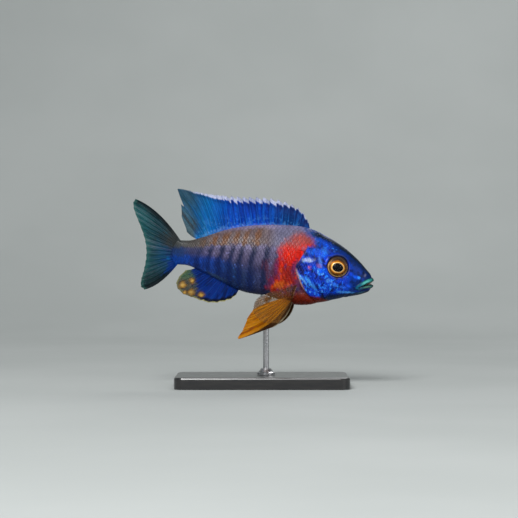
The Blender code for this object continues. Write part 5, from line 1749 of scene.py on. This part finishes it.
def make_pelvic(side, material):
    """A pelvic fin: a spine and five soft rays, the first drawn out, splayed from under the breast."""
    name = SIDE_NAMES[side]
    x = np.linspace(*PELVIC_SPAN, PELVIC_RAYS) + PELVIC_AHEAD[side]
    y = np.full(PELVIC_RAYS, side * PELVIC_APART)
    roots = np.column_stack([x, y, underside(x, y)])
    tips = upright_plane(PELVIC_TIPS) + [PELVIC_AHEAD[side], 0, 0]
    if side > 0:
        a, b = tips[:, 0] - roots[0, 0], tips[:, 2] - roots[0, 2] + 0.3
        tips[:, 0] = roots[0, 0] + a * math.cos(PELVIC_SWING) - b * math.sin(PELVIC_SWING)
        tips[:, 2] = roots[0, 2] - 0.3 + a * math.sin(PELVIC_SWING) + b * math.cos(PELVIC_SWING)
    flat = (tips - roots) * [1, 0, 1]
    seen_share = math.cos(PELVIC_SPLAY[-1])
    reach = np.linalg.norm(flat, axis=1) / seen_share
    tips = roots + flat * math.cos(PELVIC_SPLAY[side]) / seen_share
    tips[:, 1] += side * reach * math.sin(PELVIC_SPLAY[side])
    leading = (1 - np.arange(PELVIC_RAYS) / PELVIC_RAYS) ** 2
    leading[0] *= 0.45
    bows = leading[:, None] * [7.0, 0, -4.0]
    roots[:, 2] += 0.6
    sheet = fin_sheet(
        roots, tips, bows, soft_edge(PELVIC_RAYS, 0.5), rows=60, spines=1,
        halves=(0.1, 0.46, 0.15, 0.8), spread=True, ripple=0.25,
    )
    make_fin("pelvic_membrane_" + name, "pelvic_fin_" + name, sheet, pelvic_paint, material)


PECTORAL_RAYS = 13
PECTORAL_KEYS = (0, 3, 6, 9, 12)
PECTORAL_TIPS = [(5.6, -13.4), (-0.6, -18.6), (-1.2, -24.6), (4.0, -29.0), (11.4, -28.6)]
PECTORAL_SPLAY = math.radians(27)


def pectoral_paint(centre, grid):
    """Clear tan with darker rays, a red-brown base with a peach line of painted highlight at the root, a
    dusky upper edge.
    """
    tan = lay((164, 118, 54), (128, 78, 42), 0.7 * grid.ridge)
    tan = lay(tan, (96, 58, 38), 0.5 * step(grid.key + uneven(centre, 1.3, 191), 1.0, 0.2))
    tan = lay(tan, (112, 54, 34), 0.7 * step(grid.t, 0.3, 0.06))
    # Painted highlight: a peach line along the fleshy base at the root.
    tan = lay(tan, (226, 166, 132), 0.75 * hump(grid.t, 0.025, 0.02))
    return tan, 0.84 * step(grid.t, 0.02, 0.12) * (1 - 0.5 * grid.ridge)


def make_pectoral(side, material):
    """A pectoral fin: a fan of soft rays from a fleshy base, held down, back and out."""
    name = SIDE_NAMES[side]
    ray = np.arange(PECTORAL_RAYS)
    share = (ray / (PECTORAL_RAYS - 1))[:, None]
    base = np.array(PECTORAL_TOP) * (1 - share) + np.array(PECTORAL_BOTTOM) * share
    roots = upright_plane(base)
    roots[:, 1] = side * (flank(base[:, 0], base[:, 1]) + 0.3)
    tips = upright_plane(smooth(PECTORAL_KEYS, PECTORAL_TIPS)(ray))
    reach = np.linalg.norm((tips - roots)[:, [0, 2]], axis=1)
    tips[:, 1] = roots[:, 1] + side * reach * math.tan(PECTORAL_SPLAY)
    roots[:, 1] -= side * 0.5
    sheet = fin_sheet(
        roots, tips, np.zeros_like(roots) + [0, side * 1.2, -0.8], soft_edge(PECTORAL_RAYS, 0.3), rows=50,
        spines=0, halves=(0.09, 0.36, 0.12, 0.5), spread=True, ripple=0.25,
    )
    make_fin("pectoral_membrane_" + name, "pectoral_fin_" + name, sheet, pectoral_paint, material)


# The room.

CAMERA_AWAY = 1.0
FRAME_WIDE, FRAME_MIDDLE = 0.2642, (-0.00153, 0.06505)
SENSOR = 36.0
FLOOR_HALF, FLOOR_LEVEL_TO, CURVE = 3.0, 0.2, 0.6
FISH_MIDDLE = (0, 0, 0.065)
LIGHTS = [("key", (-0.3, -1.1, 0.95), 0.5, 21), ("fill", (1.1, -1.0, 0.5), 0.9, 4)]
LIGHTS += [("rim", (0.3, 0.9, 1.0), 0.6, 4)]
SKY_COLOUR, SKY_STRENGTH = (0.92, 0.96, 1.0, 1), 0.26


def make_camera():
    """A camera level with the fish's side, as wide as the photograph's view."""
    data = bpy.data.cameras.new("camera")
    data.sensor_width = SENSOR
    data.lens = SENSOR * CAMERA_AWAY / FRAME_WIDE
    made = bpy.data.objects.new("camera", data)
    made.location = (FRAME_MIDDLE[0], -CAMERA_AWAY, FRAME_MIDDLE[1])
    made.rotation_euler = (math.pi / 2, 0, 0)
    bpy.context.scene.collection.objects.link(made)
    bpy.context.scene.camera = made


def make_light(name, place, size, power):
    """A soft square light at a place, turned to the fish."""
    data = bpy.data.lights.new(name, "AREA")
    data.size = size
    data.energy = power
    made = bpy.data.objects.new(name, data)
    made.location = place
    made.rotation_euler = (Vector(FISH_MIDDLE) - Vector(place)).to_track_quat("-Z", "Y").to_euler()
    bpy.context.scene.collection.objects.link(made)


def make_sweep(material):
    """The floor, level to behind the stand and then curved up into a backdrop: a line drawn across."""
    turn = np.linspace(0, math.pi / 2, 24)
    deep = np.concatenate([[-FLOOR_HALF, FLOOR_LEVEL_TO], CURVE + CURVE * np.sin(turn), [2 * CURVE]])
    high = np.concatenate([[0, 0], CURVE - CURVE * np.cos(turn), [FLOOR_HALF]])
    across = np.linspace(-FLOOR_HALF, FLOOR_HALF, 12)
    points = np.stack(np.broadcast_arrays(across, deep[:, None], high[:, None]), -1).reshape(-1, 3)
    faces, corners = grid_quads(len(deep), len(across), False)
    uv = corners[..., ::-1] / [len(across) - 1.0, len(deep) - 1.0]
    normal = np.cross(*(points[faces[0, 1:]] - points[faces[0, 0]]))
    made = new_piece("sweep", points, *turned(faces, uv, normal[2] < 0), material)


def set_room():
    """Pale floor, soft studio lights and a soft sky."""
    make_sweep(floor_material())
    for light in LIGHTS:
        make_light(*light)
    world = bpy.data.worlds.new("sky")
    bpy.context.scene.world = world
    world.use_nodes = True
    sky = world.node_tree.nodes["Background"].inputs
    sky[0].default_value, sky[1].default_value = SKY_COLOUR, SKY_STRENGTH
    bpy.context.scene.view_settings.view_transform = "Standard"


def dress_stand():
    """The stand's solids keep their shape and take lacquer and steel."""
    finishes = {"stand_base": lacquer_material(), "stand_rod": steel_material()}
    finishes["stand_collar"] = finishes["stand_rod"]
    for name, finish in finishes.items():
        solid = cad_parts[name]
        solid.data.materials.clear()
        solid.data.materials.append(finish)


def dress_fish():
    """Skin, scales, eyes and fins."""
    speckles, wet = speckle_group(), wet_group()
    make_skin(skin_material(speckles, wet))
    body_scales = scale_material("body_scales", speckles, wet, per_metre=700.0, rim_shade=0.34)
    head_scales = scale_material("head_scales", speckles, wet, per_metre=900.0, rim_shade=0.30)
    roots = scale_roots(*BODY_COAT[:2], COAT_FRONT, COAT_REAR)
    roots = roots[on_body(roots)]
    small = scale_roots(*HEAD_COAT[:2], COAT_FRONT, CHEEK_REAR)
    small = small[on_cheek(small)]
    for side, name in SIDE_NAMES.items():
        seeds = BODY_SEED + side, HEAD_SEED + side
        make_scales("flank_scales_" + name, roots, side, BODY_COAT, body_scales, seeds[0])
        make_scales("cheek_scales_" + name, small, side, HEAD_COAT, head_scales, seeds[1])
    iris, clear = iris_material(wet), cornea_material()
    for side in SIDE_NAMES:
        make_eye(side, iris, clear)
    blue = fin_material("blue_membrane", wet, glow=0.35)
    make_dorsal(blue)
    make_anal(blue)
    make_caudal(fin_material("teal_membrane", wet, glow=0.45))
    amber = fin_material("amber_membrane", wet, glow=0.5)
    tan = fin_material("tan_membrane", wet, glow=0.5)
    for side in SIDE_NAMES:
        make_pelvic(side, amber)
        make_pectoral(side, tan)


make_camera()
set_room()
dress_stand()
dress_fish()
